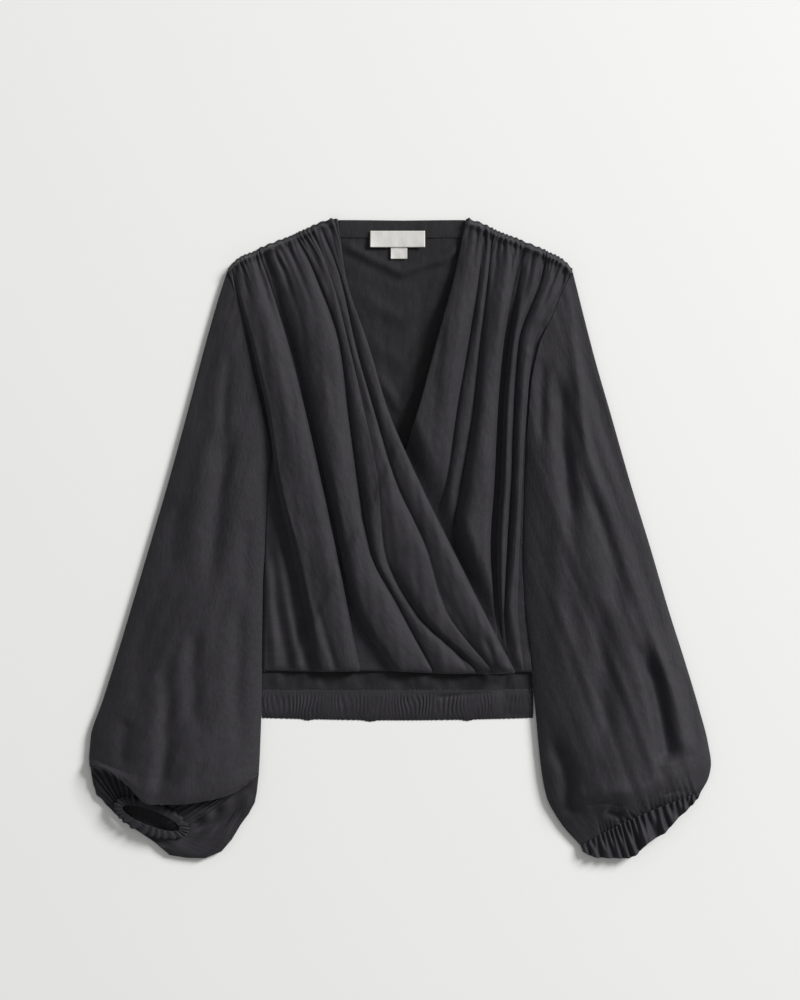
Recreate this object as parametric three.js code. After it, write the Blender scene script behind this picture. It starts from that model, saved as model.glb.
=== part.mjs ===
import * as THREE from "three";

// A wrap top laid flat on its back, neck towards +Y, in millimetres.
// The wearer's right is at -X. The underside lies on z = 0.

// Cloth and seams
const CLOTH = 1.6;
const LABEL_CLOTH = 1;
const SEAM_GAP = 0.5;
const SIDE_GAP = 1.5;
const LAYER_GAP = 0.5;

// Body
const NECK_Y = 331;
const FRONT_HEM_Y = -139;
const CASING_TOP_Y = -158;
const CASING_BOTTOM_Y = -187;
const BACK_SEAM_X = 2;
const SHOULDER_X = 180;
const SEAM_ROUNDS = 10;
const FOLD_STRIP = 1.5;
const STEEP_DROP = { leastUpright: 0.4, share: 0.6 };
const SHOULDER_GATHER = { pitch: 11, rise: 1.1, reach: 26 };
const CASING_GATHER = { pitch: 7.5, rise: 1.3, height: 3.2 };

// Shoulder seam: its y at a distance from the middle
const SHOULDER_SEAM = {
  x: [0, 64, 84, 98, 113, 132, 150, 168, 180],
  y: [330.5, 331, 326, 319.5, 313, 305.5, 298, 289, 277.5],
};

// Armhole, then the line where the sleeve lies against the side, from the shoulder point down
const RIGHT_SIDE = {
  y: [278, 259, 230, 193, 160, 133, 80, 40, -30, -100, -184, -238],
  x: [-179, -172.6, -166, -157, -149, -142.5, -134, -138, -141, -142.5, -144, -146],
};
const LEFT_SIDE = {
  y: [276, 262, 233, 200, 160, 130, 86, 40, -23, -70, -116, -184, -240, -268, -296, -321],
  x: [179.5, 171, 159, 144, 136, 133.5, 130, 128.5, 127, 130, 135, 141, 146.6, 152, 167, 189],
};

// Fold lines of the fronts: x and rise at these distances below the neck line
const FOLD_DROP = [0, 60, 130, 200, 270, 340, 405, 468];
const CREST = "crest";
const VALLEY = "valley";
const OVER_FOLDS = [
  { name: "side hollow", kind: VALLEY,
    x: [-181, -173, -155, -139.5, -130, -114, -101, -90],
    rise: [2, 4, 4, 4, 2, 0.5, 0.5, 1] },
  { name: "armhole roll", kind: CREST,
    x: [-179, -170, -152, -136.5, -125, -106, -91, -78],
    rise: [2, 6, 7, 7.5, 8, 9, 9, 6] },
  { name: "side pleat", kind: CREST,
    x: [-172, -156, -134, -118, -103, -86, -73, -60],
    rise: [3, 8, 10, 11, 12, 12, 10, 6.5] },
  { name: "side crease", kind: VALLEY,
    x: [-160, -138, -116, -98, -82, -67, -54, -43],
    rise: [1, 1, 0.5, 0.5, 0.5, 0.5, 0.5, 0.5] },
  { name: "hem pocket", kind: VALLEY,
    x: [-157, -134, -112, -94, -78, -63, -49, -8],
    rise: [1, 1.5, 1, 1, 1, 1, 0.8, 0.3] },
  { name: "middle pleat", kind: CREST,
    x: [-140, -112, -90, -77, -66, -51, -34, 3],
    rise: [3, 7, 9, 10, 11, 11, 10, 7] },
  { name: "deep crease", kind: VALLEY,
    x: [-115, -87, -62, -53, -44, -31, 0, 34],
    rise: [1, 0.5, 0.3, 0.3, 0.5, 0.5, 1.5, 2] },
  { name: "bust pleat", kind: CREST,
    x: [-105, -76, -56, -42, -30, -24, 7, 57],
    rise: [3, 5, 6, 8, 9, 9, 5, 7] },
  { name: "hem crease", kind: VALLEY,
    x: [-100, -72, -53, -37, -23, -17, 14, 80],
    rise: [2.5, 4.5, 5, 7.5, 8.5, 7, 1.5, 1] },
  { name: "wrap pleat", kind: CREST,
    x: [-96, -68, -50, -32, -15, 2, 28, 87],
    rise: [3, 5, 6, 8, 9, 10, 8, 5] },
  { name: "neck crease", kind: VALLEY,
    x: [-90, -62, -46, -26, -5, 27, 47, 96],
    rise: [2, 3.5, 4, 5, 6, 7, 5.5, 3] },
  { name: "neck roll", kind: CREST,
    x: [-75, -60, -38, -18, 9, 42, 73, 108],
    rise: [3, 5, 7, 9, 9.5, 10, 9, 7] },
  { name: "neck edge", kind: VALLEY,
    x: [-64.5, -56, -33, -11.5, 19, 53.5, 86, 118.6],
    rise: [1, 2, 3, 3.5, 3, 3, 3, 2.5] },
];
const OVER_SIDE_RISE = [2, 4.5, 4.5, 4.5, 3, 1, 1, 1];
const UNDER_FOLDS = [
  { name: "neck edge", kind: VALLEY,
    x: [68.6, 56, 37, 18, -6.5, -41, -73, -104],
    rise: [1, 2, 3, 2.5, 0, 0, 0, 0] },
  { name: "neck roll", kind: CREST,
    x: [76, 68, 52, 36, 22, -5, -25, -40],
    rise: [3, 6, 8, 8, 5, 0, 0, 0] },
  { name: "neck crease", kind: VALLEY,
    x: [88, 82, 71, 59, 49, 25, 10, 0],
    rise: [2, 3, 3.5, 4, 4, 3, 0, 0] },
  { name: "bust pleat", kind: CREST,
    x: [92, 87, 77, 67, 56, 40, 30, 25],
    rise: [3, 5, 6, 7, 7, 5, 0, 0] },
  { name: "bust crease", kind: VALLEY,
    x: [98, 91, 83, 76, 64, 53, 48, 50],
    rise: [1, 0.8, 0.5, 0.5, 0.5, 1, 1, 0.5] },
  { name: "middle pleat", kind: CREST,
    x: [112, 106, 96, 90, 82, 76, 82, 90],
    rise: [3, 8, 10, 11, 12, 12, 8, 3] },
  { name: "wide trough", kind: VALLEY,
    x: [130, 119, 107, 101, 98, 94, 98, 104],
    rise: [1, 1, 0.5, 0.5, 0.5, 0.5, 0.5, 0.5] },
  { name: "trough bank", kind: VALLEY,
    x: [134, 124, 113, 107, 104, 100, 103, 107],
    rise: [1, 1, 0.3, 0.3, 0.5, 0.5, 0.5, 0.5] },
  { name: "side pleat", kind: CREST,
    x: [145, 135, 118, 112, 110, 106, 105.5, 110],
    rise: [3, 6, 7, 8, 9, 9, 6, 3] },
  { name: "side crease", kind: VALLEY,
    x: [158, 147, 122.5, 118, 115.5, 111, 108, 113],
    rise: [1, 1, 0.5, 0.5, 0.5, 0.5, 0.5, 0.5] },
  { name: "armhole roll", kind: CREST,
    x: [168, 158, 131, 126, 123, 119.5, 115, 119],
    rise: [3, 7, 8, 9, 9, 9, 7, 4] },
  { name: "side hollow", kind: VALLEY,
    x: [175, 170, 139, 131.5, 127.3, 124, 122, 128],
    rise: [2, 5, 3, 2, 1, 1, 0.5, 0.5] },
];
const UNDER_SIDE_RISE = [2, 4.5, 3, 2, 1, 1, 0.5, 0.5];

// Sleeve rings from the armhole to the wrist: the outer fold's x and y, the y where the ring meets the
// side line, how far its middle bows towards the wrist, and the height of its top sheet
const RIGHT_RINGS = [
  { outX: -179, outY: 278, sideY: 80, bow: 0, height: 9.5 },
  { outX: -187.5, outY: 252, sideY: 66, bow: 0, height: 10.5 },
  { outX: -201, outY: 205, sideY: 45, bow: 0, height: 12 },
  { outX: -219.5, outY: 135, sideY: 12, bow: 0, height: 14 },
  { outX: -240, outY: 60, sideY: -32, bow: 0, height: 15 },
  { outX: -259, outY: -5, sideY: -78, bow: 0, height: 16 },
  { outX: -276.5, outY: -64, sideY: -118, bow: 4, height: 18 },
  { outX: -294, outY: -122, sideY: -155, bow: 6, height: 20 },
  { outX: -308.5, outY: -168, sideY: -186, bow: 9, height: 22 },
  { outX: -321, outY: -205, sideY: -212, bow: 13, height: 24 },
  { outX: -323, outY: -228, sideY: -232, bow: 20, height: 25 },
];
const LEFT_RINGS = [
  { outX: 180, outY: 276, sideY: 86, bow: 0, height: 9.5 },
  { outX: 186.5, outY: 249, sideY: 70, bow: 0, height: 10.5 },
  { outX: 202, outY: 188, sideY: 42, bow: 0, height: 12 },
  { outX: 220, outY: 125, sideY: 5, bow: 0, height: 14 },
  { outX: 238.5, outY: 60, sideY: -30, bow: 0, height: 15 },
  { outX: 260, outY: -10, sideY: -75, bow: 0, height: 16 },
  { outX: 279, outY: -75, sideY: -115, bow: 4, height: 18 },
  { outX: 296.5, outY: -130, sideY: -155, bow: 6, height: 20 },
  { outX: 310, outY: -175, sideY: -188, bow: 8, height: 22 },
  { outX: 319.5, outY: -211, sideY: -216, bow: 10, height: 24 },
  { outX: 323, outY: -234, sideY: -240, bow: 13, height: 25 },
  { outX: 320, outY: -250, sideY: -268, bow: 13, height: 23 },
  { outX: 315, outY: -258, sideY: -296, bow: 6, height: 17 },
  { outX: 308, outY: -263, sideY: -319, bow: -4, height: 10 },
];
const SLEEVE_EDGE = 4.5;
const EDGE_INSET = 3;
const RINGS_BETWEEN = 2;
const TOP_STEPS = 20;
const BOTTOM_STEPS = 10;

// Long soft folds of the sleeves: the line they follow, their rise and half width
const SLEEVE_FOLDS = [
  { path: [[-189, 217], [-205, 160], [-217, 110]], rise: -2.5, width: 7 },
  { path: [[-178, 122], [-188, 30], [-199, -65]], rise: -3.5, width: 9 },
  { path: [[-240, -120], [-241, -190], [-246, -252]], rise: -3, width: 8 },
  { path: [[-282, -185], [-287, -215], [-290, -240]], rise: -3.5, width: 8 },
  { path: [[-164, -60], [-168, -150], [-166, -225]], rise: -3, width: 8 },
  { path: [[181, 240], [187, 150], [214, 27], [256, -89]], rise: 2.5, width: 8 },
  { path: [[166, 175], [168, 120], [173, 60]], rise: -5, width: 9 },
  { path: [[146, 185], [145, 130], [146, 90]], rise: -3, width: 8 },
  { path: [[247, -106], [263, -146], [271, -186], [278, -234]], rise: -6, width: 9 },
  { path: [[280, -154], [295, -210], [302, -226]], rise: 2.5, width: 8 },
  { path: [[153, -200], [168, -240], [176, -268]], rise: -5, width: 8 },
  { path: [[205, -60], [212, -150], [214, -225]], rise: -3, width: 10 },
];

// End of the right sleeve: its top sheet's rolled edge, and its outline below that,
// from the outer fold inwards
const RIGHT_ROLL = [
  [-322, -236, 8], [-306, -238, 17], [-285, -252, 22], [-258, -275, 24],
  [-230, -275, 24], [-203, -272, 22], [-174, -264, 18], [-146.5, -244, 7],
];
const RIGHT_OUTLINE = [
  [-322, -236], [-317, -262], [-307, -274], [-290, -292], [-273, -303.5], [-256, -315],
  [-237, -330], [-207, -333], [-186, -326], [-165, -297], [-150, -272], [-146.5, -244],
];
const OUTLINE_INSET = 6;
const BEFORE_ROLL = { share: 0.6, lift: 1.5 };
const ROLLED_UNDER = { share: 0.22, back: 4, fall: 0.62, turnUp: 0.3 };
const RIGHT_CUFF = { x: -258, y: -290, long: 37, short: 13.5, turn: -21 * Math.PI / 180, floor: 7 };
const CUFF_LEVELS = [
  { out: 0, up: 2 },
  { out: 1.4, up: 3.4 },
  { out: 0, up: 5.4 },
  { out: -3, up: 5.2 },
];
const CUFF_GATHER = { count: 24, swing: 0.7 };

// Hem edge of the left cuff, from its outer end inwards
const LEFT_HEM_EDGE = [
  [313, -267], [303, -276], [287, -292], [274, -306], [257, -316], [244, -329], [236, -332],
  [205, -331.5], [190, -326],
];
const LEFT_CUFF = { height: 10.5, steps: 4, top: 46, ruffles: 11, rise: 2.4 };

// Colours
const CHARCOAL = { color: 0x2f3033, roughness: 0.8, metalness: 0 };
const FACING_CLOTH = { color: 0x2a2b2e, roughness: 0.8, metalness: 0 };
const LABEL_SATIN = { color: 0xe4e2dc, roughness: 0.45, metalness: 0 };

// Facing and labels inside the back neck
const FACING_FLOOR = CLOTH + LAYER_GAP;
const LABEL_FLOOR = FACING_FLOOR + CLOTH + LAYER_GAP;
const NECK_STRIPS = [
  {
    name: "back_neck_facing", x: [-60, 61], y: [312, 330],
    floor: FACING_FLOOR, cloth: CLOTH, bow: 0.5, finish: FACING_CLOTH,
  },
  {
    name: "neck_label", x: [-31, 26], y: [302, 319],
    floor: LABEL_FLOOR, cloth: LABEL_CLOTH, bow: 0, finish: LABEL_SATIN,
  },
  {
    name: "size_label", x: [-9.5, 7.5], y: [290, 308],
    floor: FACING_FLOOR + 0.3, cloth: LABEL_CLOTH, bow: 0, finish: LABEL_SATIN,
  },
];

const top = new THREE.Group();

/** Smooth curve through a table's values that never swings past them. */
function smoothTable(stations, values) {
  const last = stations.length - 1;
  const secant = (i) => (values[i + 1] - values[i]) / (stations[i + 1] - stations[i]);
  const slope = (i) => {
    if (i === 0) {
      return secant(0);
    }
    if (i === last) {
      return secant(last - 1);
    }
    const before = secant(i - 1);
    const after = secant(i);
    return before * after <= 0 ? 0 : (2 * before * after) / (before + after);
  };
  const rising = stations[last] > stations[0];
  return (s) => {
    let i = 0;
    while (i < last - 1 && (rising ? s > stations[i + 1] : s < stations[i + 1])) {
      i += 1;
    }
    const span = stations[i + 1] - stations[i];
    const t = THREE.MathUtils.clamp((s - stations[i]) / span, 0, 1);
    const t2 = t * t;
    const t3 = t2 * t;
    return values[i] * (2 * t3 - 3 * t2 + 1) + slope(i) * span * (t3 - 2 * t2 + t)
      + values[i + 1] * (3 * t2 - 2 * t3) + slope(i + 1) * span * (t3 - t2);
  };
}

const smoothStep = (from, to, value) => THREE.MathUtils.smoothstep(value, from, to);
const shoulderSeamY = smoothTable(SHOULDER_SEAM.x, SHOULDER_SEAM.y);
const rightSideX = smoothTable(RIGHT_SIDE.y, RIGHT_SIDE.x);
const leftSideX = smoothTable(LEFT_SIDE.y, LEFT_SIDE.x);

/** Point at a share of the length of a smooth line through listed points. */
function alongLine(points) {
  const knots = points.map(([x, y, z = 0]) => new THREE.Vector3(x, y, z));
  const curve = new THREE.CatmullRomCurve3(knots, false, "centripetal");
  return (share) => curve.getPointAt(THREE.MathUtils.clamp(share, 0, 1));
}

/**
 * Closed wall between an outer and an inner grid of points.
 * A wrapped grid is a tube, open at its two ends.
 */
function wallGeometry(outer, inner, wrapped) {
  const rows = outer.length;
  const columns = outer[0].length;
  const positions = [...outer.flat(), ...inner.flat()].flatMap((point) => point.toArray());
  const index = [];
  const at = (layer, row, column) => (layer * rows + row) * columns + (column % columns);
  const quad = (a, b, c, d) => index.push(a, b, c, a, c, d);
  const spans = wrapped ? columns : columns - 1;
  const end = rows - 1;
  for (let column = 0; column < spans; column += 1) {
    const next = column + 1;
    for (let row = 0; row < end; row += 1) {
      quad(at(0, row, column), at(0, row, next), at(0, row + 1, next), at(0, row + 1, column));
      quad(at(1, row, column), at(1, row + 1, column), at(1, row + 1, next), at(1, row, next));
    }
    quad(at(0, 0, column), at(1, 0, column), at(1, 0, next), at(0, 0, next));
    quad(at(0, end, column), at(0, end, next), at(1, end, next), at(1, end, column));
  }
  if (!wrapped) {
    const edge = columns - 1;
    for (let row = 0; row < end; row += 1) {
      quad(at(0, row, 0), at(0, row + 1, 0), at(1, row + 1, 0), at(1, row, 0));
      quad(at(0, row, edge), at(1, row, edge), at(1, row + 1, edge), at(0, row + 1, edge));
    }
  }
  const geometry = new THREE.BufferGeometry();
  geometry.setAttribute("position", new THREE.Float32BufferAttribute(positions, 3));
  geometry.setIndex(signedVolume(positions, index) < 0 ? index.reverse() : index);
  geometry.computeVertexNormals();
  return geometry;
}

/** Volume inside a list of triangles, below zero where they face inwards. */
function signedVolume(positions, index) {
  const corner = (i) => new THREE.Vector3().fromArray(positions, 3 * index[i]);
  let volume = 0;
  for (let i = 0; i < index.length; i += 3) {
    volume += corner(i).dot(corner(i + 1).cross(corner(i + 2))) / 6;
  }
  return volume;
}

/** A tube's rings moved into the tube by the cloth's thickness, along their own normals. */
function offsetRings(rings) {
  const last = rings.length - 1;
  const count = rings[0].length;
  const normalAt = (row, column) => {
    const across = rings[row][(column + 1) % count].clone().sub(rings[row][(column + count - 1) % count]);
    const along = rings[Math.min(row + 1, last)][column].clone().sub(rings[Math.max(row - 1, 0)][column]);
    return across.cross(along).normalize();
  };
  const inwards = normalAt(1, TOP_STEPS / 2).z > 0 ? -1 : 1;
  return rings.map((ring, row) => ring.map((point, column) => (
    point.clone().addScaledVector(normalAt(row, column), CLOTH * inwards)
  )));
}

/** The inner side of a flat ring: its two long edges drawn in, its top lowered, its bottom raised. */
function innerRing(ring, topSteps) {
  const chord = ring[topSteps].clone().sub(ring[0]).setZ(0);
  const reach = chord.length();
  const inset = Math.min(EDGE_INSET, reach / 5);
  chord.normalize();
  return ring.map((point, i) => {
    const isTop = i <= topSteps;
    const before = ring[isTop ? Math.max(i - 1, 0) : (i + 1) % ring.length];
    const after = ring[isTop ? Math.min(i + 1, topSteps) : i - 1];
    const across = after.clone().sub(before).setZ(0).normalize();
    const share = THREE.MathUtils.clamp(point.clone().sub(ring[0]).dot(chord) / reach, 0, 1);
    const inner = point.clone().addScaledVector(across, inset * (1 - 2 * share));
    inner.z += isTop ? -CLOTH : CLOTH;
    return inner;
  });
}

/**
 * The underside of a draped sheet, straight below its top so that steep folds never meet.
 * Where the sheet is steep it hangs lower, within the room above what lies under it.
 */
function undersideGrid(grid, clearance) {
  const lastRow = grid.length - 1;
  const lastColumn = grid[0].length - 1;
  return grid.map((points, row) => points.map((point, column) => {
    const across = points[Math.min(column + 1, lastColumn)].clone().sub(points[Math.max(column - 1, 0)]);
    const along = grid[Math.min(row + 1, lastRow)][column].clone().sub(grid[Math.max(row - 1, 0)][column]);
    const upright = Math.abs(across.cross(along).normalize().z);
    const drop = CLOTH / Math.max(upright, STEEP_DROP.leastUpright);
    const room = point.z - CLOTH - clearance(point.x, point.y);
    const extra = Math.min(drop - CLOTH, room * STEEP_DROP.share);
    return new THREE.Vector3(point.x, point.y, point.z - CLOTH - extra);
  }));
}

/** A flat-bottomed sheet from a grid of its top points, closed down to a level floor. */
function slabGeometry(grid, floor) {
  const below = grid.map((points) => points.map((point) => new THREE.Vector3(point.x, point.y, floor)));
  return wallGeometry(grid, below, false);
}

/** Adds one named piece in its finish. */
function addPiece(name, geometry, finish) {
  const mesh = new THREE.Mesh(geometry, new THREE.MeshStandardMaterial(finish));
  mesh.name = name;
  top.add(mesh);
}

/** Evenly spaced numbers from `from` to `to`, both included. */
function steps(from, to, count) {
  return Array.from({ length: count + 1 }, (_, i) => from + ((to - from) * i) / count);
}

/**
 * One half of the back, its inner edge on the centre seam.
 * It is flat below, with the soft folds in the neck above.
 */
function backHalf(side) {
  const sideX = side < 0 ? rightSideX : leftSideX;
  const seamX = BACK_SEAM_X + (side * SEAM_GAP) / 2;
  const grid = steps(0, 1, 18).map((t) => [0, 0.18, 0.36, 0.46, 0.6, 0.74, 0.88, 1].map((s) => {
    const topY = shoulderSeamY(s * SHOULDER_X) - SEAM_GAP;
    const y = THREE.MathUtils.lerp(topY, CASING_TOP_Y + SEAM_GAP, t ** 1.2);
    const x = THREE.MathUtils.lerp(seamX, sideX(y) - side * SIDE_GAP, s);
    return new THREE.Vector3(x, y, CLOTH + 1.1 * neckDrape(x, y));
  }));
  return slabGeometry(grid, 0);
}

/** Height of the soft V-shaped fold across the back inside the neck, from 0 to 1. */
function neckDrape(x, y) {
  const foldY = 274 + 0.45 * Math.abs(x - BACK_SEAM_X);
  const fade = 1 - smoothStep(30, 60, Math.abs(x - BACK_SEAM_X));
  return fade * Math.exp(-(((y - foldY) / 9) ** 2));
}

/** x of a fold line at a height y on the garment. */
function foldX(fold, y) {
  return smoothTable(FOLD_DROP, fold.x)(NECK_Y - y);
}

const overEdge = OVER_FOLDS[OVER_FOLDS.length - 1];
const underEdge = UNDER_FOLDS[0];

/** Height of whatever lies under the outer front at a point: the back, or the inner front on it. */
function supportHeight(x, y) {
  return CLOTH + LAYER_GAP + (CLOTH + LAYER_GAP) * smoothStep(-18, -5, x - foldX(underEdge, y));
}

/** Small gathers that run down from the shoulder seam and die out. */
function shoulderGather(x, fallen) {
  const wave = Math.cos((2 * Math.PI * x) / SHOULDER_GATHER.pitch);
  return SHOULDER_GATHER.rise * wave * Math.exp(-fallen / SHOULDER_GATHER.reach);
}

/** Share of the rise between two fold lines: steep beside a valley, round over a crest. */
function foldClimb(near, far, share) {
  if (near.kind === far.kind) return share * share * (3 - 2 * share);
  if (near.kind === VALLEY) return Math.sin((share * Math.PI) / 2);
  return 1 - Math.sin(((1 - share) * Math.PI) / 2);
}

/** A front panel: its fold lines, its seam at the side, and what its underside clears. */
function frontPanel(lines, rowCount, clearance, freedom) {
  const seamPoint = (near, far, share) => {
    const point = { x: 0, y: NECK_Y };
    for (let i = 0; i < SEAM_ROUNDS; i += 1) {
      point.x = THREE.MathUtils.lerp(near.x(point.y), far.x(point.y), share);
      point.y = shoulderSeamY(Math.abs(point.x)) - SEAM_GAP;
    }
    return point;
  };
  const columns = [];
  for (let i = 0; i < lines.length - 1; i += 1) {
    for (let k = 0; k < 3; k += 1) {
      columns.push({ line: i, share: k / 3 });
    }
  }
  columns.push({ line: lines.length - 2, share: 1 });
  const grid = steps(0, 1, rowCount).map((t) => columns.map(({ line, share }) => {
    const near = lines[line];
    const far = lines[line + 1];
    const seam = seamPoint(near, far, share);
    const y = THREE.MathUtils.lerp(seam.y, FRONT_HEM_Y, t);
    const x = THREE.MathUtils.lerp(near.x(y), far.x(y), share);
    const rise = THREE.MathUtils.lerp(near.rise(y), far.rise(y), foldClimb(near, far, share))
      + shoulderGather(seam.x, seam.y - y);
    return new THREE.Vector3(x, y, clearance(x, y) + CLOTH + Math.max(rise, 0.1) * freedom(x, y));
  }));
  return wallGeometry(grid, undersideGrid(grid, clearance), false);
}

/**
 * Fold lines as functions of y, with the side seam's own line in front or behind.
 * Each stays a small strip further in than the line before it.
 */
function foldLines(table, sideX, sideRise, side) {
  const lines = table.map((fold, i) => {
    const rise = smoothTable(FOLD_DROP, fold.rise);
    const strips = side < 0 ? i + 1 : table.length - i;
    const inmost = side < 0 ? Math.max : Math.min;
    const x = (y) => inmost(foldX(fold, y), sideX(y) - side * (SIDE_GAP + strips * FOLD_STRIP));
    return { kind: fold.kind, x, rise: (y) => rise(NECK_Y - y) };
  });
  const rise = smoothTable(FOLD_DROP, sideRise);
  const seam = { kind: VALLEY, x: (y) => sideX(y) - side * SIDE_GAP, rise: (y) => rise(NECK_Y - y) };
  return side < 0 ? [seam, ...lines] : [...lines, seam];
}

/** Distance from a point to a bent line, and how far along the line the nearest place is, from 0 to 1. */
function nearestOnPath(x, y, path) {
  let best = { distance: Infinity, share: 0 };
  for (let i = 0; i < path.length - 1; i += 1) {
    const [ax, ay] = path[i];
    const [bx, by] = path[i + 1];
    const length2 = (bx - ax) ** 2 + (by - ay) ** 2;
    const t = THREE.MathUtils.clamp(((x - ax) * (bx - ax) + (y - ay) * (by - ay)) / length2, 0, 1);
    const distance = Math.hypot(x - ax - t * (bx - ax), y - ay - t * (by - ay));
    if (distance < best.distance) {
      best = { distance, share: (i + t) / (path.length - 1) };
    }
  }
  return best;
}

/** Sum of the sleeves' long folds at a point. */
function sleeveFolds(x, y) {
  return SLEEVE_FOLDS.reduce((sum, fold) => {
    const near = nearestOnPath(x, y, fold.path);
    const fade = smoothStep(-0.05, 0.25, near.share) * (1 - 0.6 * smoothStep(0.75, 1, near.share));
    return sum + fold.rise * fade * Math.exp(-((near.distance / fold.width) ** 2));
  }, 0);
}

const topShares = steps(0, 1, TOP_STEPS).map((t) => (1 - Math.cos(Math.PI * t)) / 2);
const bottomShares = steps(1, 0, BOTTOM_STEPS).map((t) => (1 - Math.cos(Math.PI * t)) / 2).slice(1, -1);

/** One closed ring from the point functions of its top and of its bottom half. */
function closedRing(topPoint, bottomPoint) {
  return [...topShares.map(topPoint), ...bottomShares.map(bottomPoint)];
}

/** Rings of a sleeve from its table, laid across between the outer fold and the side line. */
function sleeveRings(table, sideX) {
  const stations = table.map((_, i) => i);
  const column = (key) => smoothTable(stations, table.map((row) => row[key]));
  const outX = column("outX");
  const outY = column("outY");
  const sideY = column("sideY");
  const bow = column("bow");
  const height = column("height");
  const start = table[0];
  const startX = sideX(start.sideY);
  const last = table.length - 1;
  return steps(0, last, last * RINGS_BETWEEN).map((s) => {
    const innerY = sideY(s);
    const innerX = sideX(innerY);
    const reach = Math.hypot(innerX - outX(s), innerY - outY(s));
    const down = [(innerY - outY(s)) / reach, -(innerX - outX(s)) / reach];
    const sign = down[1] > 0 ? -1 : 1;
    const hug = (1 - s / last) ** 6;
    const plan = (v) => {
      const bend = bow(s) * sign * Math.sin(Math.PI * v);
      const seamY = THREE.MathUtils.lerp(start.outY, start.sideY, v);
      const seamBend = hug * (sideX(seamY) - THREE.MathUtils.lerp(start.outX, startX, v));
      return [
        THREE.MathUtils.lerp(outX(s), innerX, v) + bend * down[0] + seamBend,
        THREE.MathUtils.lerp(outY(s), innerY, v) + bend * down[1],
      ];
    };
    return closedRing((v) => {
      const [x, y] = plan(v);
      const arch = Math.max(Math.sin(Math.PI * v), 0) ** 0.55;
      const folds = arch * smoothStep(0, 3, s) * sleeveFolds(x, y);
      const z = SLEEVE_EDGE + (height(s) - SLEEVE_EDGE) * arch + folds;
      return new THREE.Vector3(x, y, Math.max(z, SLEEVE_EDGE));
    }, (v) => {
      const [x, y] = plan(v);
      return new THREE.Vector3(x, y, 0);
    });
  });
}

/** Point on the right cuff's oval, v from its outer end to its inner end by the top or the bottom arc. */
function cuffOval(v, arc, out, z) {
  const angle = Math.PI * (1 - v) * arc;
  const along = (RIGHT_CUFF.long + out) * Math.cos(angle);
  const across = (RIGHT_CUFF.short + out) * Math.sin(angle);
  const cos = Math.cos(RIGHT_CUFF.turn);
  const sin = Math.sin(RIGHT_CUFF.turn);
  const x = RIGHT_CUFF.x + along * cos - across * sin;
  const y = RIGHT_CUFF.y + along * sin + across * cos;
  return new THREE.Vector3(x, y, z);
}

/**
 * Rings that close the right sleeve's end.
 * The top sheet rolls under, and the bottom sheet turns up to the cuff.
 */
function rightSleeveEnd(lastRing) {
  const roll = alongLine(RIGHT_ROLL);
  const outline = alongLine(RIGHT_OUTLINE);
  const centre = new THREE.Vector3(RIGHT_CUFF.x, RIGHT_CUFF.y, 0);
  const inset = (v, distance, z) => {
    const point = outline(v);
    const inwards = centre.clone().sub(point).setZ(0).normalize();
    return point.addScaledVector(inwards, distance * Math.sin(Math.PI * v)).setZ(z);
  };
  const lastTop = (v) => lastRing[topShares.indexOf(v)].clone();
  const lift = (height) => new THREE.Vector3(0, 0, height);
  const before = closedRing(
    (v) => lastTop(v).lerp(roll(v), BEFORE_ROLL.share).add(lift(BEFORE_ROLL.lift * Math.sin(Math.PI * v))),
    (v) => inset(v, OUTLINE_INSET, 0),
  );
  const edge = closedRing(roll, (v) => outline(v).setZ(SLEEVE_EDGE));
  const under = closedRing(
    (v) => {
      const point = roll(v).lerp(cuffOval(v, 1, 0, RIGHT_CUFF.floor), ROLLED_UNDER.share);
      point.y += ROLLED_UNDER.back * Math.sin(Math.PI * v);
      return point.setZ(THREE.MathUtils.lerp(roll(v).z, RIGHT_CUFF.floor, ROLLED_UNDER.fall));
    },
    (v) => outline(v).lerp(cuffOval(v, -1, 0, 0), ROLLED_UNDER.turnUp).setZ(RIGHT_CUFF.floor),
  );
  const mouth = closedRing(
    (v) => cuffOval(v, 1, 0, RIGHT_CUFF.floor),
    (v) => cuffOval(v, -1, 0, RIGHT_CUFF.floor),
  );
  return [before, edge, under, mouth];
}

/** The gathered elastic ring that stands on the right sleeve's mouth. */
function rightCuff() {
  const around = CUFF_GATHER.count * 3;
  const grid = CUFF_LEVELS.map(({ out, up }) => steps(0, 1, around).slice(0, -1).map((turn) => {
    const wave = CUFF_GATHER.swing * Math.cos(2 * Math.PI * CUFF_GATHER.count * turn) * (up > 1 ? 1 : 0);
    return cuffOval(1 - 2 * turn, 1, out + wave, RIGHT_CUFF.floor + up);
  }));
  const inner = CUFF_LEVELS.map(({ out, up }) => steps(0, 1, around).slice(0, -1).map((turn) => (
    cuffOval(1 - 2 * turn, 1, Math.min(out, 0) - 2.4, RIGHT_CUFF.floor + up - (up > 4 ? 1.6 : 0))
  )));
  return wallGeometry(grid, inner, true);
}

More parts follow.
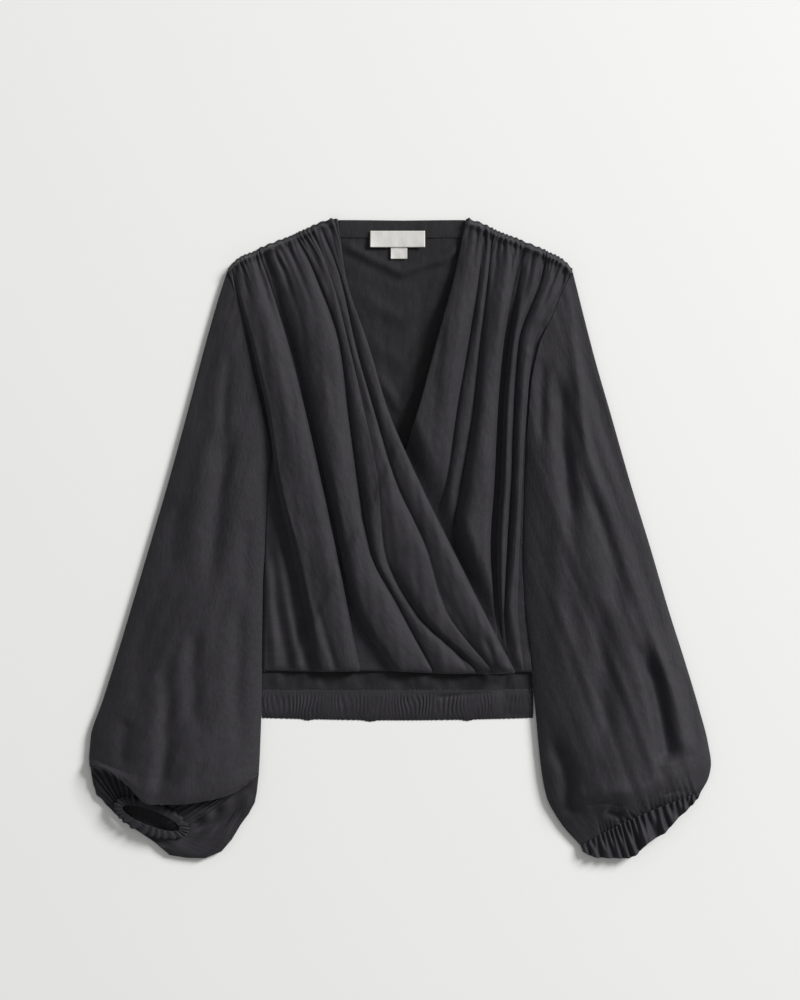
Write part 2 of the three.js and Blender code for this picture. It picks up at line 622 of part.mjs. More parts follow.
/** The flat ruffled tube beyond the left sleeve's elastic line. */
function leftCuff(elasticRing) {
  const hem = alongLine(LEFT_HEM_EDGE);
  const elastic = alongLine(elasticRing.slice(0, TOP_STEPS + 1).map((point) => [point.x, point.y]));
  const start = (v) => {
    const point = elastic(v);
    const out = hem(v).sub(point).normalize();
    return point.addScaledVector(out, SEAM_GAP + 0.3);
  };
  const place = (v, t) => start(v).lerp(hem(v), t);
  const grid = steps(0, 1, LEFT_CUFF.steps).map((t) => [
    ...steps(0, 1, LEFT_CUFF.top).map((v) => {
      const ruffle = LEFT_CUFF.rise * Math.sin(Math.PI * LEFT_CUFF.ruffles * 2 * v) * smoothStep(0.1, 0.9, t);
      const arch = Math.max(Math.sin(Math.PI * v), 0) ** 0.4;
      return place(v, t).setZ(SLEEVE_EDGE + (LEFT_CUFF.height - SLEEVE_EDGE + ruffle) * arch);
    }),
    ...bottomShares.map((v) => place(0.01 + 0.98 * v, t).setZ(0)),
  ]);
  return wallGeometry(grid, grid.map((ring) => innerRing(ring, LEFT_CUFF.top)), true);
}

/** Shirred casing along the back hem: a flat underside and a row of small upright gathers. */
function backCasing() {
  const left = rightSideX(CASING_TOP_Y) + SEAM_GAP;
  const right = leftSideX(CASING_TOP_Y) - SEAM_GAP;
  const gathers = Math.round((right - left) / CASING_GATHER.pitch);
  const grid = steps(0, 1, 3).map((t) => steps(0, 1, gathers * 3).map((s) => {
    const edge = CASING_BOTTOM_Y - 2.5 * Math.sin(Math.PI * s) + 0.8 * Math.cos(2 * Math.PI * gathers * s);
    const wave = Math.cos(2 * Math.PI * gathers * s + 1.2 * Math.sin(9 * s)) * CASING_GATHER.rise;
    const puff = Math.sin(Math.PI * Math.min(Math.max(t, 0.12), 0.9)) ** 0.5;
    return new THREE.Vector3(
      THREE.MathUtils.lerp(left, right, s),
      THREE.MathUtils.lerp(CASING_TOP_Y, edge, t),
      CASING_GATHER.height * puff + wave * puff * 0.8,
    );
  }));
  return slabGeometry(grid, 0);
}

/** A small flat strip between two heights, its long edges bowed a little. */
function stripGeometry(x, y, floor, thickness, bow) {
  const grid = steps(0, 1, 3).map((t) => steps(0, 1, 8).map((s) => {
    const sag = bow * Math.sin(Math.PI * s);
    return new THREE.Vector3(
      THREE.MathUtils.lerp(x[0], x[1], s),
      THREE.MathUtils.lerp(y[1], y[0], t) - sag,
      floor + thickness,
    );
  }));
  return slabGeometry(grid, floor);
}

addPiece("back_right", backHalf(-1), CHARCOAL);
addPiece("back_left", backHalf(1), CHARCOAL);
addPiece("waistband_back", backCasing(), CHARCOAL);

for (const { name, x, y, floor, cloth, bow, finish } of NECK_STRIPS) {
  addPiece(name, stripGeometry(x, y, floor, cloth, bow), finish);
}

addPiece("front_under", frontPanel(
  foldLines(UNDER_FOLDS, leftSideX, UNDER_SIDE_RISE, 1),
  16,
  () => CLOTH + LAYER_GAP,
  (x, y) => smoothStep(-2, 28, x - foldX(overEdge, y)),
), CHARCOAL);
addPiece("front_over", frontPanel(
  foldLines(OVER_FOLDS, rightSideX, OVER_SIDE_RISE, -1),
  17,
  supportHeight,
  () => 1,
), CHARCOAL);

const rightRings = sleeveRings(RIGHT_RINGS, rightSideX);
rightRings.push(...rightSleeveEnd(rightRings[rightRings.length - 1]));
const rightInner = [
  ...rightRings.slice(0, -3).map((ring) => innerRing(ring, TOP_STEPS)),
  ...offsetRings(rightRings).slice(-3, -1),
  rightRings.at(-1).map((point) => point.clone().setZ(point.z - CLOTH)),
];
addPiece("sleeve_right", wallGeometry(rightRings, rightInner, true), CHARCOAL);
addPiece("cuff_right", rightCuff(), CHARCOAL);

const leftRings = sleeveRings(LEFT_RINGS, leftSideX);
const leftInner = leftRings.map((ring) => innerRing(ring, TOP_STEPS));
addPiece("sleeve_left", wallGeometry(leftRings, leftInner, true), CHARCOAL);
addPiece("cuff_left", leftCuff(leftRings[leftRings.length - 1]), CHARCOAL);

export default top;
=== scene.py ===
import logging
from dataclasses import dataclass
from enum import Enum
from typing import Callable

import bpy
import numpy as np
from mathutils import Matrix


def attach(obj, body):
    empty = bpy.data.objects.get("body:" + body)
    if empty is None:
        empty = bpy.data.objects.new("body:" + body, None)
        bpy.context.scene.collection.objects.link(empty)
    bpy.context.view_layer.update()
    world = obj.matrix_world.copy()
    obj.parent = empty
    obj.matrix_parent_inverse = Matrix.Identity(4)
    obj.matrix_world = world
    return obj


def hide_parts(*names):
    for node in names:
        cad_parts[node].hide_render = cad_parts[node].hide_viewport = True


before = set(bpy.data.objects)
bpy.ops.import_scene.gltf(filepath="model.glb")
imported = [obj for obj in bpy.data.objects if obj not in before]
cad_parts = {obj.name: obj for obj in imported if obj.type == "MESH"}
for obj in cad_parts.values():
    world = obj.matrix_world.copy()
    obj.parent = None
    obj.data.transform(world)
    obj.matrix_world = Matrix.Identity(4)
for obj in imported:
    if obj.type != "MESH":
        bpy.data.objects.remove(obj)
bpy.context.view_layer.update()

# A charcoal wrap top, laid flat with its neck towards +Y. Sizes are in millimetres until a mesh is made.
# The wearer's right is at -X. Each class is one sewn sub-assembly, and its methods build each cut piece as a
# closed shell over the form of its solid.

log = logging.getLogger("wrap_top")
logging.basicConfig(level=logging.INFO, format="%(name)s: %(message)s")

Array = np.ndarray
Curve = Callable[[Array], Array]
Piece = bpy.types.Object
Node = bpy.types.Node
Socket = bpy.types.NodeSocket
Two = tuple[float, float]
Three = tuple[float, float, float]
Four = tuple[float, float, float, float]
MILLIMETRE = 0.001

# Cloth and seams: the solids' wall, the wall that is seen, and the gaps that part the pieces
CLOTH = 1.6
SHELL = 0.9
LABEL_SHELL = 0.4
SIDE_GAP = 0.25
SEAM_GAP = 0.5
LAYER_GAP = 0.5
LIFT = 0.05

# Folds: how much deeper than the tables they are, the power of a sleeve's arch, the least strip between fold
# lines, and the rounds that settle where a fold line meets the shoulder seam
FOLD_DEPTH = 1.35
ARCH = 0.7
FOLD_STRIP = 1.5
SEAM_ROUNDS = 10

# A distance that is far below any seam
FAR = 99.0

# Small gathers along a wrist's elastic line
WRIST_WAVES = 23

# Ripples: how many sines, how far their lengths vary, and what brings their sum to about one
RIPPLE_WAVES = 9
RIPPLE_STRETCH = (0.7, 1.5)
RIPPLE_SCALE = 4.0

# Body
NECK_Y = 331.0
FRONT_HEM_Y = -139.0
CASING_TOP_Y = -158.0
CASING_BOTTOM_Y = -187.0
CASING_SEAM_Z = 2.8
BACK_SEAM_X = 2.0
SHOULDER_X = 180.0
SLEEVE_EDGE = 4.5

SHOULDER_SEAM_X = (0, 64, 84, 98, 113, 132, 150, 168, 180)
SHOULDER_SEAM_Y = (330.5, 331, 326, 319.5, 313, 305.5, 298, 289, 277.5)
RIGHT_SIDE_Y = (278, 259, 230, 193, 160, 133, 80, 40, -30, -100, -184, -238)
RIGHT_SIDE_X = (-179, -172.6, -166, -157, -149, -142.5, -134, -138, -141, -142.5, -144, -146)
LEFT_SIDE_Y = (276, 262, 233, 200, 160, 130, 86, 40, -23, -70, -116, -184, -240, -268, -296, -321)
LEFT_SIDE_X = (179.5, 171, 159, 144, 136, 133.5, 130, 128.5, 127, 130, 135, 141, 146.6, 152, 167, 189)

# Distances below the neck line at which the fold tables give x and rise
FOLD_DROP = (0, 60, 130, 200, 270, 340, 405, 468)


class Side(Enum):
    """The wearer's side, as the sign of x."""

    RIGHT = -1
    LEFT = 1


class Fold(Enum):
    """What a fold line follows."""

    CREST = "crest"
    VALLEY = "valley"


def smooth_table(stations: tuple | Array, values: tuple | Array) -> Curve:
    """Makes a smooth curve through a table that never swings past its values.

    Between two stations it is the cubic whose end slopes are the harmonic mean of the neighbouring chords'
    slopes, or zero where those chords turn back.

    Args:
        stations: rising or falling places of the table's rows.
        values: one value or array for each station.

    Returns:
        A function from an array of places to the values there.
    """
    knots = np.asarray(stations, float)
    rows = np.asarray(values, float)
    if knots[-1] < knots[0]:
        knots, rows = knots[::-1], rows[::-1]
    spans = np.diff(knots)
    chords = np.diff(rows, axis=0) / spans.reshape(-1, *[1] * (rows.ndim - 1))
    slopes = np.empty_like(rows)
    slopes[0], slopes[-1] = chords[0], chords[-1]
    product = chords[:-1] * chords[1:]
    total = chords[:-1] + chords[1:]
    safe = np.where(product > 0, total, 1.0)
    slopes[1:-1] = np.where(product > 0, 2 * product / safe, 0.0)

    def curve(places: Array) -> Array:
        """The table's value at each place, held at the ends."""
        at = np.clip(np.asarray(places, float), knots[0], knots[-1])
        i = np.clip(np.searchsorted(knots, at, side="right") - 1, 0, len(spans) - 1)
        tail = (1,) * (rows.ndim - 1)
        t = ((at - knots[i]) / spans[i]).reshape(at.shape + tail)
        span = spans[i].reshape(at.shape + tail)
        return (rows[i] * (2 * t**3 - 3 * t**2 + 1) + slopes[i] * span * (t**3 - 2 * t**2 + t)
                + rows[i + 1] * (3 * t**2 - 2 * t**3) + slopes[i + 1] * span * (t**3 - t**2))

    return curve


def smooth_step(low: float, high: float, value: Array) -> Array:
    """Zero below low, one above high, and a smooth S between."""
    t = np.clip((np.asarray(value, float) - low) / (high - low), 0.0, 1.0)
    return t * t * (3 - 2 * t)


def bell(distance: Array, width: Array | float) -> Array:
    """One at no distance, and 0.37 at the width."""
    return np.exp(-((distance / width) ** 2))


def stacked(x: Array, y: Array, z: Array | float) -> Array:
    """Points from their three coordinates."""
    return np.stack(np.broadcast_arrays(x, y, z), axis=-1)


def path_through(points: list[tuple[float, ...]]) -> Curve:
    """Makes a smooth path through points, as a function of the share of its chord length."""
    rows = np.array(points, float)
    steps = np.linalg.norm(np.diff(rows[:, :2], axis=0), axis=1)
    shares = np.concatenate([[0.0], np.cumsum(steps)]) / steps.sum()
    return smooth_table(shares, rows)


def ripple(x: Array, y: Array, length: float, seed: int) -> Array:
    """Uneven waves in every direction: a scaled sum of sines with seeded directions, phases and lengths.

    Args:
        x: places across, in millimetres.
        y: places along, in millimetres.
        length: the mean wave length.
        seed: which pattern.

    Returns:
        Heights from about -1 to 1.
    """
    draw = np.random.default_rng(seed)
    height = np.zeros(np.broadcast(x, y).shape)
    for _ in range(RIPPLE_WAVES):
        turn, phase = draw.uniform(0, np.pi), draw.uniform(0, 2 * np.pi)
        stretch = draw.uniform(*RIPPLE_STRETCH)
        height += np.sin(2 * np.pi * (x * np.cos(turn) + y * np.sin(turn)) / (length * stretch) + phase)
    return height / RIPPLE_SCALE


def near_path(x: Array, y: Array, path: list[Two]) -> tuple[Array, Array]:
    """Distance to a bent line, and the share of the line at the nearest place.

    Each straight stretch gives the distance to its own nearest point, and the smallest is kept.

    Args:
        x: places across.
        y: places along.
        path: the line's corners.

    Returns:
        The distances and the shares.
    """
    distance = np.full(np.broadcast(x, y).shape, 1e9)
    share = np.zeros_like(distance)
    for i, ((ax, ay), (bx, by)) in enumerate(zip(path, path[1:])):
        length2 = (bx - ax) ** 2 + (by - ay) ** 2
        t = np.clip(((x - ax) * (bx - ax) + (y - ay) * (by - ay)) / length2, 0, 1)
        reach = np.hypot(x - ax - t * (bx - ax), y - ay - t * (by - ay))
        closer = reach < distance
        distance = np.where(closer, reach, distance)
        share = np.where(closer, (i + t) / (len(path) - 1), share)
    return distance, share


@dataclass(frozen=True)
class Crease:
    """A soft trough or ridge: its line, rise, half width and how it fades at its ends."""

    path: list[Two]
    rise: float
    width: float
    start: float = 0.2
    end: float = 0.3

    def height(self, x: Array, y: Array) -> Array:
        """A bell across the line, faded in over the start share and out over the end share."""
        distance, share = near_path(x, y, self.path)
        fade = smooth_step(-0.02, self.start, share) * (1 - smooth_step(1 - self.end, 1.02, share))
        return self.rise * fade * bell(distance, self.width)


def creases(*rows: tuple) -> tuple[Crease, ...]:
    """Creases from rows of path, rise, half width, and the shares over which they fade in and out."""
    return tuple(Crease(*row) for row in rows)


def crease_heights(placed: tuple[Crease, ...], x: Array, y: Array) -> Array:
    """Sum of the heights of several creases."""
    return sum((crease.height(x, y) for crease in placed), np.zeros(np.broadcast(x, y).shape))


def crumple_heights(rows: tuple[tuple[float, ...], ...], x: Array, y: Array, shift: int = 0) -> Array:
    """Sum of ripples over a whole piece.

    Args:
        rows: height, wave length, squeeze along y and seed of each ripple.
        x: places across.
        y: places along.
        shift: what moves the seeds, so that two sides differ.

    Returns:
        Their height at each place.
    """
    return sum(height * ripple(x, y * squeeze, length, seed + shift)
               for height, length, squeeze, seed in rows)


@dataclass(frozen=True)
class FoldLine:
    """One fold of a front: crest or valley, its x and rise below the neck line, and its bank's lean."""

    kind: Fold
    x: tuple[float, ...]
    rise: tuple[float, ...]
    lean: float = 0.0


@dataclass(frozen=True)
class FoldCurve:
    """A fold line as curves: its x at a y, and its rise at a distance below the neck line."""

    kind: Fold
    x: Curve
    rise: Curve
    lean: float = 0.0


class SheetMesh:
    """Turns grids of points into closed shells."""

    @staticmethod
    def normals(grid: Array, wrapped: bool) -> Array:
        """Unit normals of a grid: the cross product of its differences across and along."""
        if wrapped:
            across = np.roll(grid, -1, axis=1) - np.roll(grid, 1, axis=1)
        else:
            across = np.gradient(grid, axis=1)
        along = np.gradient(grid, axis=0)
        normal = np.cross(across, along)
        return normal / np.maximum(np.linalg.norm(normal, axis=2, keepdims=True), 1e-9)

    @staticmethod
    def cloth_uv(grid: Array, wrapped: bool) -> Array:
        """Cloth coordinates in metres: lengths run along the middle row and the middle column."""
        row = grid[len(grid) // 2]
        column = grid[:, grid.shape[1] // 3]
        if wrapped:
            row = np.vstack([row, row[:1]])
        across = np.concatenate([[0], np.cumsum(np.linalg.norm(np.diff(row, axis=0), axis=1))])
        along = np.concatenate([[0], np.cumsum(np.linalg.norm(np.diff(column, axis=0), axis=1))])
        return np.stack(np.meshgrid(across, along), axis=2) * MILLIMETRE

    @classmethod
    def shell(cls, name: str, outer: Array, inner: Array, wrapped: bool,
              crisp: bool = False) -> Piece:
        """Joins an outer and an inner grid into one closed mesh with cloth coordinates.

        Args:
            name: the object's name.
            outer: points of the outer face, rows by columns by three, in millimetres.
            inner: points of the inner face.
            wrapped: whether the columns close into a tube.
            crisp: whether the shading breaks at the rim.

        Returns:
            The new object, its faces pointing out and shaded smooth.
        """
        rows, columns = outer.shape[:2]
        spans = columns if wrapped else columns - 1
        number = np.arange(rows * columns).reshape(rows, columns)
        uv_grid = cls.cloth_uv(outer, wrapped)
        r = np.arange(rows - 1)[:, None]
        c = np.arange(spans)[None, :]
        n = (c + 1) % columns

        def quads(*corners: tuple[Array, Array, Array, int]) -> tuple[Array, Array]:
            """Corner numbers and cloth coordinates of a block of quads."""
            ids, uvs = [], []
            for row, column, seam, layer in corners:
                row, column, seam = np.broadcast_arrays(row, column, seam)
                ids.append((number[row, column] + layer * rows * columns).ravel())
                uvs.append(uv_grid[row, seam].reshape(-1, 2))
            return np.stack(ids, axis=1), np.stack(uvs, axis=1)

        last = np.array([rows - 1])[:, None]
        first = np.array([0])[:, None]
        blocks = [
            quads((r, c, c, 0), (r, n, c + 1, 0), (r + 1, n, c + 1, 0), (r + 1, c, c, 0)),
            quads((r, c, c, 1), (r + 1, c, c, 1), (r + 1, n, c + 1, 1), (r, n, c + 1, 1)),
            quads((first, c, c, 0), (first, c, c, 1), (first, n, c + 1, 1), (first, n, c + 1, 0)),
            quads((last, c, c, 0), (last, n, c + 1, 0), (last, n, c + 1, 1), (last, c, c, 1)),
        ]
        if not wrapped:
            a, b = np.array([[0]]), np.array([[columns - 1]])
            blocks.append(quads((r, a, a, 0), (r + 1, a, a, 0), (r + 1, a, a, 1), (r, a, a, 1)))
            blocks.append(quads((r, b, b, 0), (r, b, b, 1), (r + 1, b, b, 1), (r + 1, b, b, 0)))
        faces = np.concatenate([block[0] for block in blocks])
        uvs = np.concatenate([block[1] for block in blocks])
        points = np.concatenate([outer.reshape(-1, 3), inner.reshape(-1, 3)]) * MILLIMETRE
        corners = points[faces[:, :3]]
        volume = np.einsum("ij,ij->i", corners[:, 0], np.cross(corners[:, 1], corners[:, 2])).sum()
        if volume < 0:
            faces, uvs = faces[:, ::-1], uvs[:, ::-1]
        mesh = bpy.data.meshes.new(name)
        mesh.from_pydata(points, [], faces.tolist())
        mesh.uv_layers.new(name="cloth").data.foreach_set("uv", uvs.reshape(-1))
        rim = len(blocks[0][0]) + len(blocks[1][0])
        mesh.polygons.foreach_set("use_smooth", np.arange(len(faces)) < rim)
        mesh.update()
        if crisp:
            edges = np.empty(len(mesh.loops), np.int32)
            mesh.loops.foreach_get("edge_index", edges)
            mesh.edges.foreach_set("use_edge_sharp", np.isin(np.arange(len(mesh.edges)), edges[4 * rim:]))
        piece = bpy.data.objects.new(name, mesh)
        bpy.context.scene.collection.objects.link(piece)
        return piece

    @classmethod
    def sheet(cls, name: str, grid: Array, thickness: float = SHELL) -> Piece:
        """A lying sheet: its upper face is the grid, its lower face is moved down along the normals."""
        normal = cls.normals(grid, False)
        normal *= np.sign(normal[..., 2].mean())
        normal[:, 0] = normal[:, -1] = (0, 0, 1)
        return cls.shell(name, grid, grid - thickness * normal, False)

    @classmethod
    def tube(cls, name: str, grid: Array, thickness: float = SHELL) -> Piece:
        """A tube open at both ends: its wall lies inside the grid."""
        normal = cls.normals(grid, True)
        middle = normal[len(grid) // 3, grid.shape[1] // 3]
        return cls.shell(name, grid, grid - thickness * np.sign(middle[2]) * normal, True)


# Noises as scale, detail, coordinates and stretch: slubs along the thread, slow patches and crinkle
SLUBS = (520, 3, "UV", (1.0, 0.16, 1.0))
PATCHES = (38, 2, "Object", (1, 1, 1))
CRINKLES = (210, 4, "UV", (1.0, 0.55, 1.0))

# The threads' uneven run, the strength and depth of their bump, and the crinkle's depth
THREAD_RUN = {"Distortion": 1.2, "Detail": 1}
THREAD_BUMP = (0.35, 0.0002)
CRINKLE_DEPTH = 0.0009

# A wave texture's scale for one thread in a metre, the slubs' share in the tone, the noise at its dark and
# light ends, and how far the roughness varies
THREAD_SCALE = 0.31
SLUB_SHARE = 0.55
TONE_STOPS = (0.36, 0.66)
ROUGHNESS_SPREAD = 0.07


@dataclass(frozen=True)
class ClothFinish:
    """Woven cloth: its colours, sheen, thread pitch and crinkle."""

    slot: str
    dark: Three
    light: Three
    roughness: float
    sheen: float
    thread: float
    crinkle: float
    shade: str = ""

    def material(self) -> bpy.types.Material:
        """Builds the finish once and gives it again later.

        The colour runs from dark to light with fine slubs along the thread and slow patches. The bump is two
        crossed waves of thread under a soft crinkle.
        """
        name = self.slot + self.shade + "_look"
        known = bpy.data.materials.get(name)
        if known:
            return known
        made = bpy.data.materials.new(name)
        made.use_nodes = True
        nodes, links = made.node_tree.nodes, made.node_tree.links
        place = nodes.new("ShaderNodeTexCoord")

        def fill(node: Node, inputs: dict) -> Node:
            """Gives each named input a value, or a link from another node's output."""
            for socket, value in inputs.items():
                if isinstance(value, Socket):
                    links.new(value, node.inputs[socket])
                else:
                    node.inputs[socket].default_value = value
            return node

        def add(kind: str, inputs: dict) -> Node:
            """Adds a node of a kind and fills its inputs."""
            return fill(nodes.new(kind), inputs)

        def combine(operation: str, *inputs: Socket | float) -> Socket:
            """Joins values by arithmetic."""
            node = add("ShaderNodeMath", dict(enumerate(inputs)))
            node.operation = operation
            return node.outputs[0]

        def noise(scale: float, detail: float, source: str, stretch: tuple) -> Socket:
            """Noise on stretched coordinates."""
            mapping = add("ShaderNodeMapping", {"Vector": place.outputs[source], "Scale": stretch})
            inputs = {"Scale": scale, "Detail": detail, "Vector": mapping.outputs["Vector"]}
            return add("ShaderNodeTexNoise", inputs).outputs["Fac"]

        def thread(direction: str) -> Socket:
            """Threads that lie side by side in one direction."""
            inputs = {"Scale": THREAD_SCALE / self.thread, **THREAD_RUN, "Vector": place.outputs["UV"]}
            wave = add("ShaderNodeTexWave", inputs)
            wave.wave_type = "BANDS"
            wave.bands_direction = direction
            return wave.outputs["Fac"]

        def bump(strength: float, distance: float, height: Socket, **under: Socket) -> Socket:
            """A bump, over another one if it is given as Normal."""
            inputs = {"Strength": strength, "Distance": distance, "Height": height, **under}
            return add("ShaderNodeBump", inputs).outputs["Normal"]

        slub = noise(*SLUBS)
        patch = noise(*PATCHES)
        tone = combine("MULTIPLY_ADD", slub, SLUB_SHARE, combine("MULTIPLY", patch, 1 - SLUB_SHARE))
        ramp = add("ShaderNodeValToRGB", {"Fac": tone})
        for stop, position, colour in zip(ramp.color_ramp.elements, TONE_STOPS, (self.dark, self.light)):
            stop.position = position
            stop.color = (*colour, 1)
        rough = add("ShaderNodeMapRange", {"Value": patch, "To Min": self.roughness - ROUGHNESS_SPREAD,
                                           "To Max": self.roughness + ROUGHNESS_SPREAD})
        weave = combine("MULTIPLY", thread("X"), thread("Y"))
        fine = bump(*THREAD_BUMP, weave)
        soft = bump(self.crinkle, CRINKLE_DEPTH, noise(*CRINKLES), Normal=fine)
        fill(nodes["Principled BSDF"], {
            "Base Color": ramp.outputs["Color"], "Roughness": rough.outputs["Result"], "Normal": soft,
            "Sheen Weight": self.sheen, "Sheen Roughness": 0.45, "Sheen Tint": (0.75, 0.76, 0.8, 1),
            "Specular IOR Level": 0.28,
        })
        return made

    def dress(self, piece: Piece, *nodes: str) -> None:
        """Puts the finish on a piece that stands for CAD nodes, and lets it ride on the one body."""
        piece.data.materials.append(self.material())
        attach(piece, "root")
        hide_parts(*nodes)
        log.info("%s: %d faces", piece.name, len(piece.data.polygons))


CHARCOAL = ClothFinish("charcoal_cloth", (0.0146, 0.0131, 0.0164), (0.0246, 0.0221, 0.0273),
                       0.66, 0.16, 0.00045, 0.6)
# A darker copy of the charcoal for the back halves: painted shade of the back where it lies under the fronts,
# inside the neck and below the front hem
BACK_PAINTED_SHADE = ClothFinish("charcoal_cloth", (0.0094, 0.0087, 0.0106), (0.0160, 0.0147, 0.0178),
                     0.7, 0.1, 0.00045, 0.5, "_painted_shade")
FACING = ClothFinish("facing_cloth", (0.0125, 0.0122, 0.0138), (0.0215, 0.021, 0.0235),
                     0.65, 0.12, 0.00045, 0.4)
SATIN = ClothFinish("label_satin", (0.66, 0.65, 0.62), (0.74, 0.73, 0.70), 0.42, 0.1, 0.0003, 0.1)

side_x = {
    Side.RIGHT: smooth_table(RIGHT_SIDE_Y, RIGHT_SIDE_X),
    Side.LEFT: smooth_table(LEFT_SIDE_Y, LEFT_SIDE_X),
}
shoulder_seam_y = smooth_table(SHOULDER_SEAM_X, SHOULDER_SEAM_Y)

C, V = Fold.CREST, Fold.VALLEY
OVER_FOLDS = [FoldLine(*row) for row in (
    (V, (-181, -173, -155, -139.5, -130, -114, -101, -90), (2, 3, 2, 0.3, 0.2, 0.3, 0.5, 1), -1.0),
    (C, (-179, -169, -150, -134, -123, -105, -90, -77), (2, 6, 8, 9.5, 10, 11, 10, 7)),
    (C, (-172, -156, -134, -118, -103, -86, -73, -60), (3, 8, 10, 11, 12, 12, 10, 6.5)),
    (V, (-160, -138, -116, -98, -82, -67, -54, -43), (1, 1, 0.5, 0.5, 0.5, 0.5, 0.5, 0.5), 2.5),
    (V, (-157, -134, -112, -94, -78, -63, -49, -8), (1, 1.5, 1, 1, 1, 1, 0.8, 0.3)),
    (C, (-140, -112, -90, -77, -66, -51, -34, 3), (3, 7, 9, 10, 11, 11, 10, 7)),
    (V, (-115, -87, -62, -53, -44, -31, 0, 34), (1, 0.5, 0.3, 0.3, 0.5, 0.5, 1.5, 2), 1.5),
    (C, (-105, -76, -56, -42, -30, -24, 7, 57), (3, 5, 6, 8, 9, 9, 5, 7)),
    (V, (-100, -72, -53, -37, -23, -17, 14, 80), (2.5, 4.5, 5, 7.5, 8.5, 7, 1.5, 1)),
    (C, (-96, -68, -50, -32, -15, 2, 28, 87), (3, 5, 6, 8, 9, 10, 8, 5)),
    (V, (-90, -62, -46, -26, -5, 27, 47, 96), (2, 3.5, 4, 5, 6, 7, 5.5, 3)),
    (C, (-75, -60, -38, -18, 9, 42, 73, 108), (3, 5, 7, 9, 9.5, 10, 9, 7)),
    (V, (-64.5, -56, -33, -11.5, 19, 53.5, 86, 118.6), (1.5, 4, 6, 7, 6.5, 5.5, 5, 3.5)),
)]
OVER_SIDE_RISE = (2, 4, 3, 0.6, 0.4, 0.8, 1.2, 1.5)
UNDER_FOLDS = [FoldLine(*row) for row in (
    (V, (68.6, 56, 37, 18, -6.5, -41, -73, -104), (2, 5, 9, 10, 5, 0, 0, 0)),
    (C, (76, 68, 52, 36, 22, -5, -25, -40), (4, 8, 11, 11, 7, 0, 0, 0)),
    (V, (88, 82, 71, 59, 49, 25, 10, 0), (2, 3, 3.5, 4, 4, 3, 0, 0)),
    (C, (92, 87, 77, 67, 56, 40, 30, 25), (3, 5, 6, 7, 7, 5, 0, 0)),
    (V, (98, 91, 83, 76, 64, 53, 48, 50), (1, 0.8, 0.5, 0.5, 0.5, 1, 1, 0.5), 1.5),
    (C, (112, 106, 96, 90, 82, 76, 82, 90), (3, 8, 10, 11, 12, 12, 8, 3)),
    (V, (130, 119, 107, 101, 98, 94, 98, 104), (1, 1, 0.5, 0.5, 0.5, 0.5, 0.5, 0.5), 2.0),
    (V, (134, 124, 113, 107, 104, 100, 103, 107), (1, 1, 0.3, 0.3, 0.5, 0.5, 0.5, 0.5)),
    (C, (145, 135, 118, 112, 110, 106, 105.5, 110), (3, 6, 7, 8, 9, 9, 6, 3)),
    (V, (158, 147, 122.5, 118, 115.5, 111, 108, 113), (1, 1, 0.5, 0.5, 0.5, 0.5, 0.5, 0.5), 1.0),
    (C, (168, 158, 131, 126, 123, 119.5, 115, 119), (3, 7, 8, 9, 9, 9, 7, 4)),
    (V, (175, 170, 139, 131.5, 127.3, 124, 122, 128), (2, 5, 3, 2, 1, 1, 0.5, 0.5)),
)]
UNDER_SIDE_RISE = (2, 4.5, 3, 2, 1, 1, 0.5, 0.5)

over_edge_x = smooth_table(FOLD_DROP, OVER_FOLDS[-1].x)
under_edge_x = smooth_table(FOLD_DROP, UNDER_FOLDS[0].x)


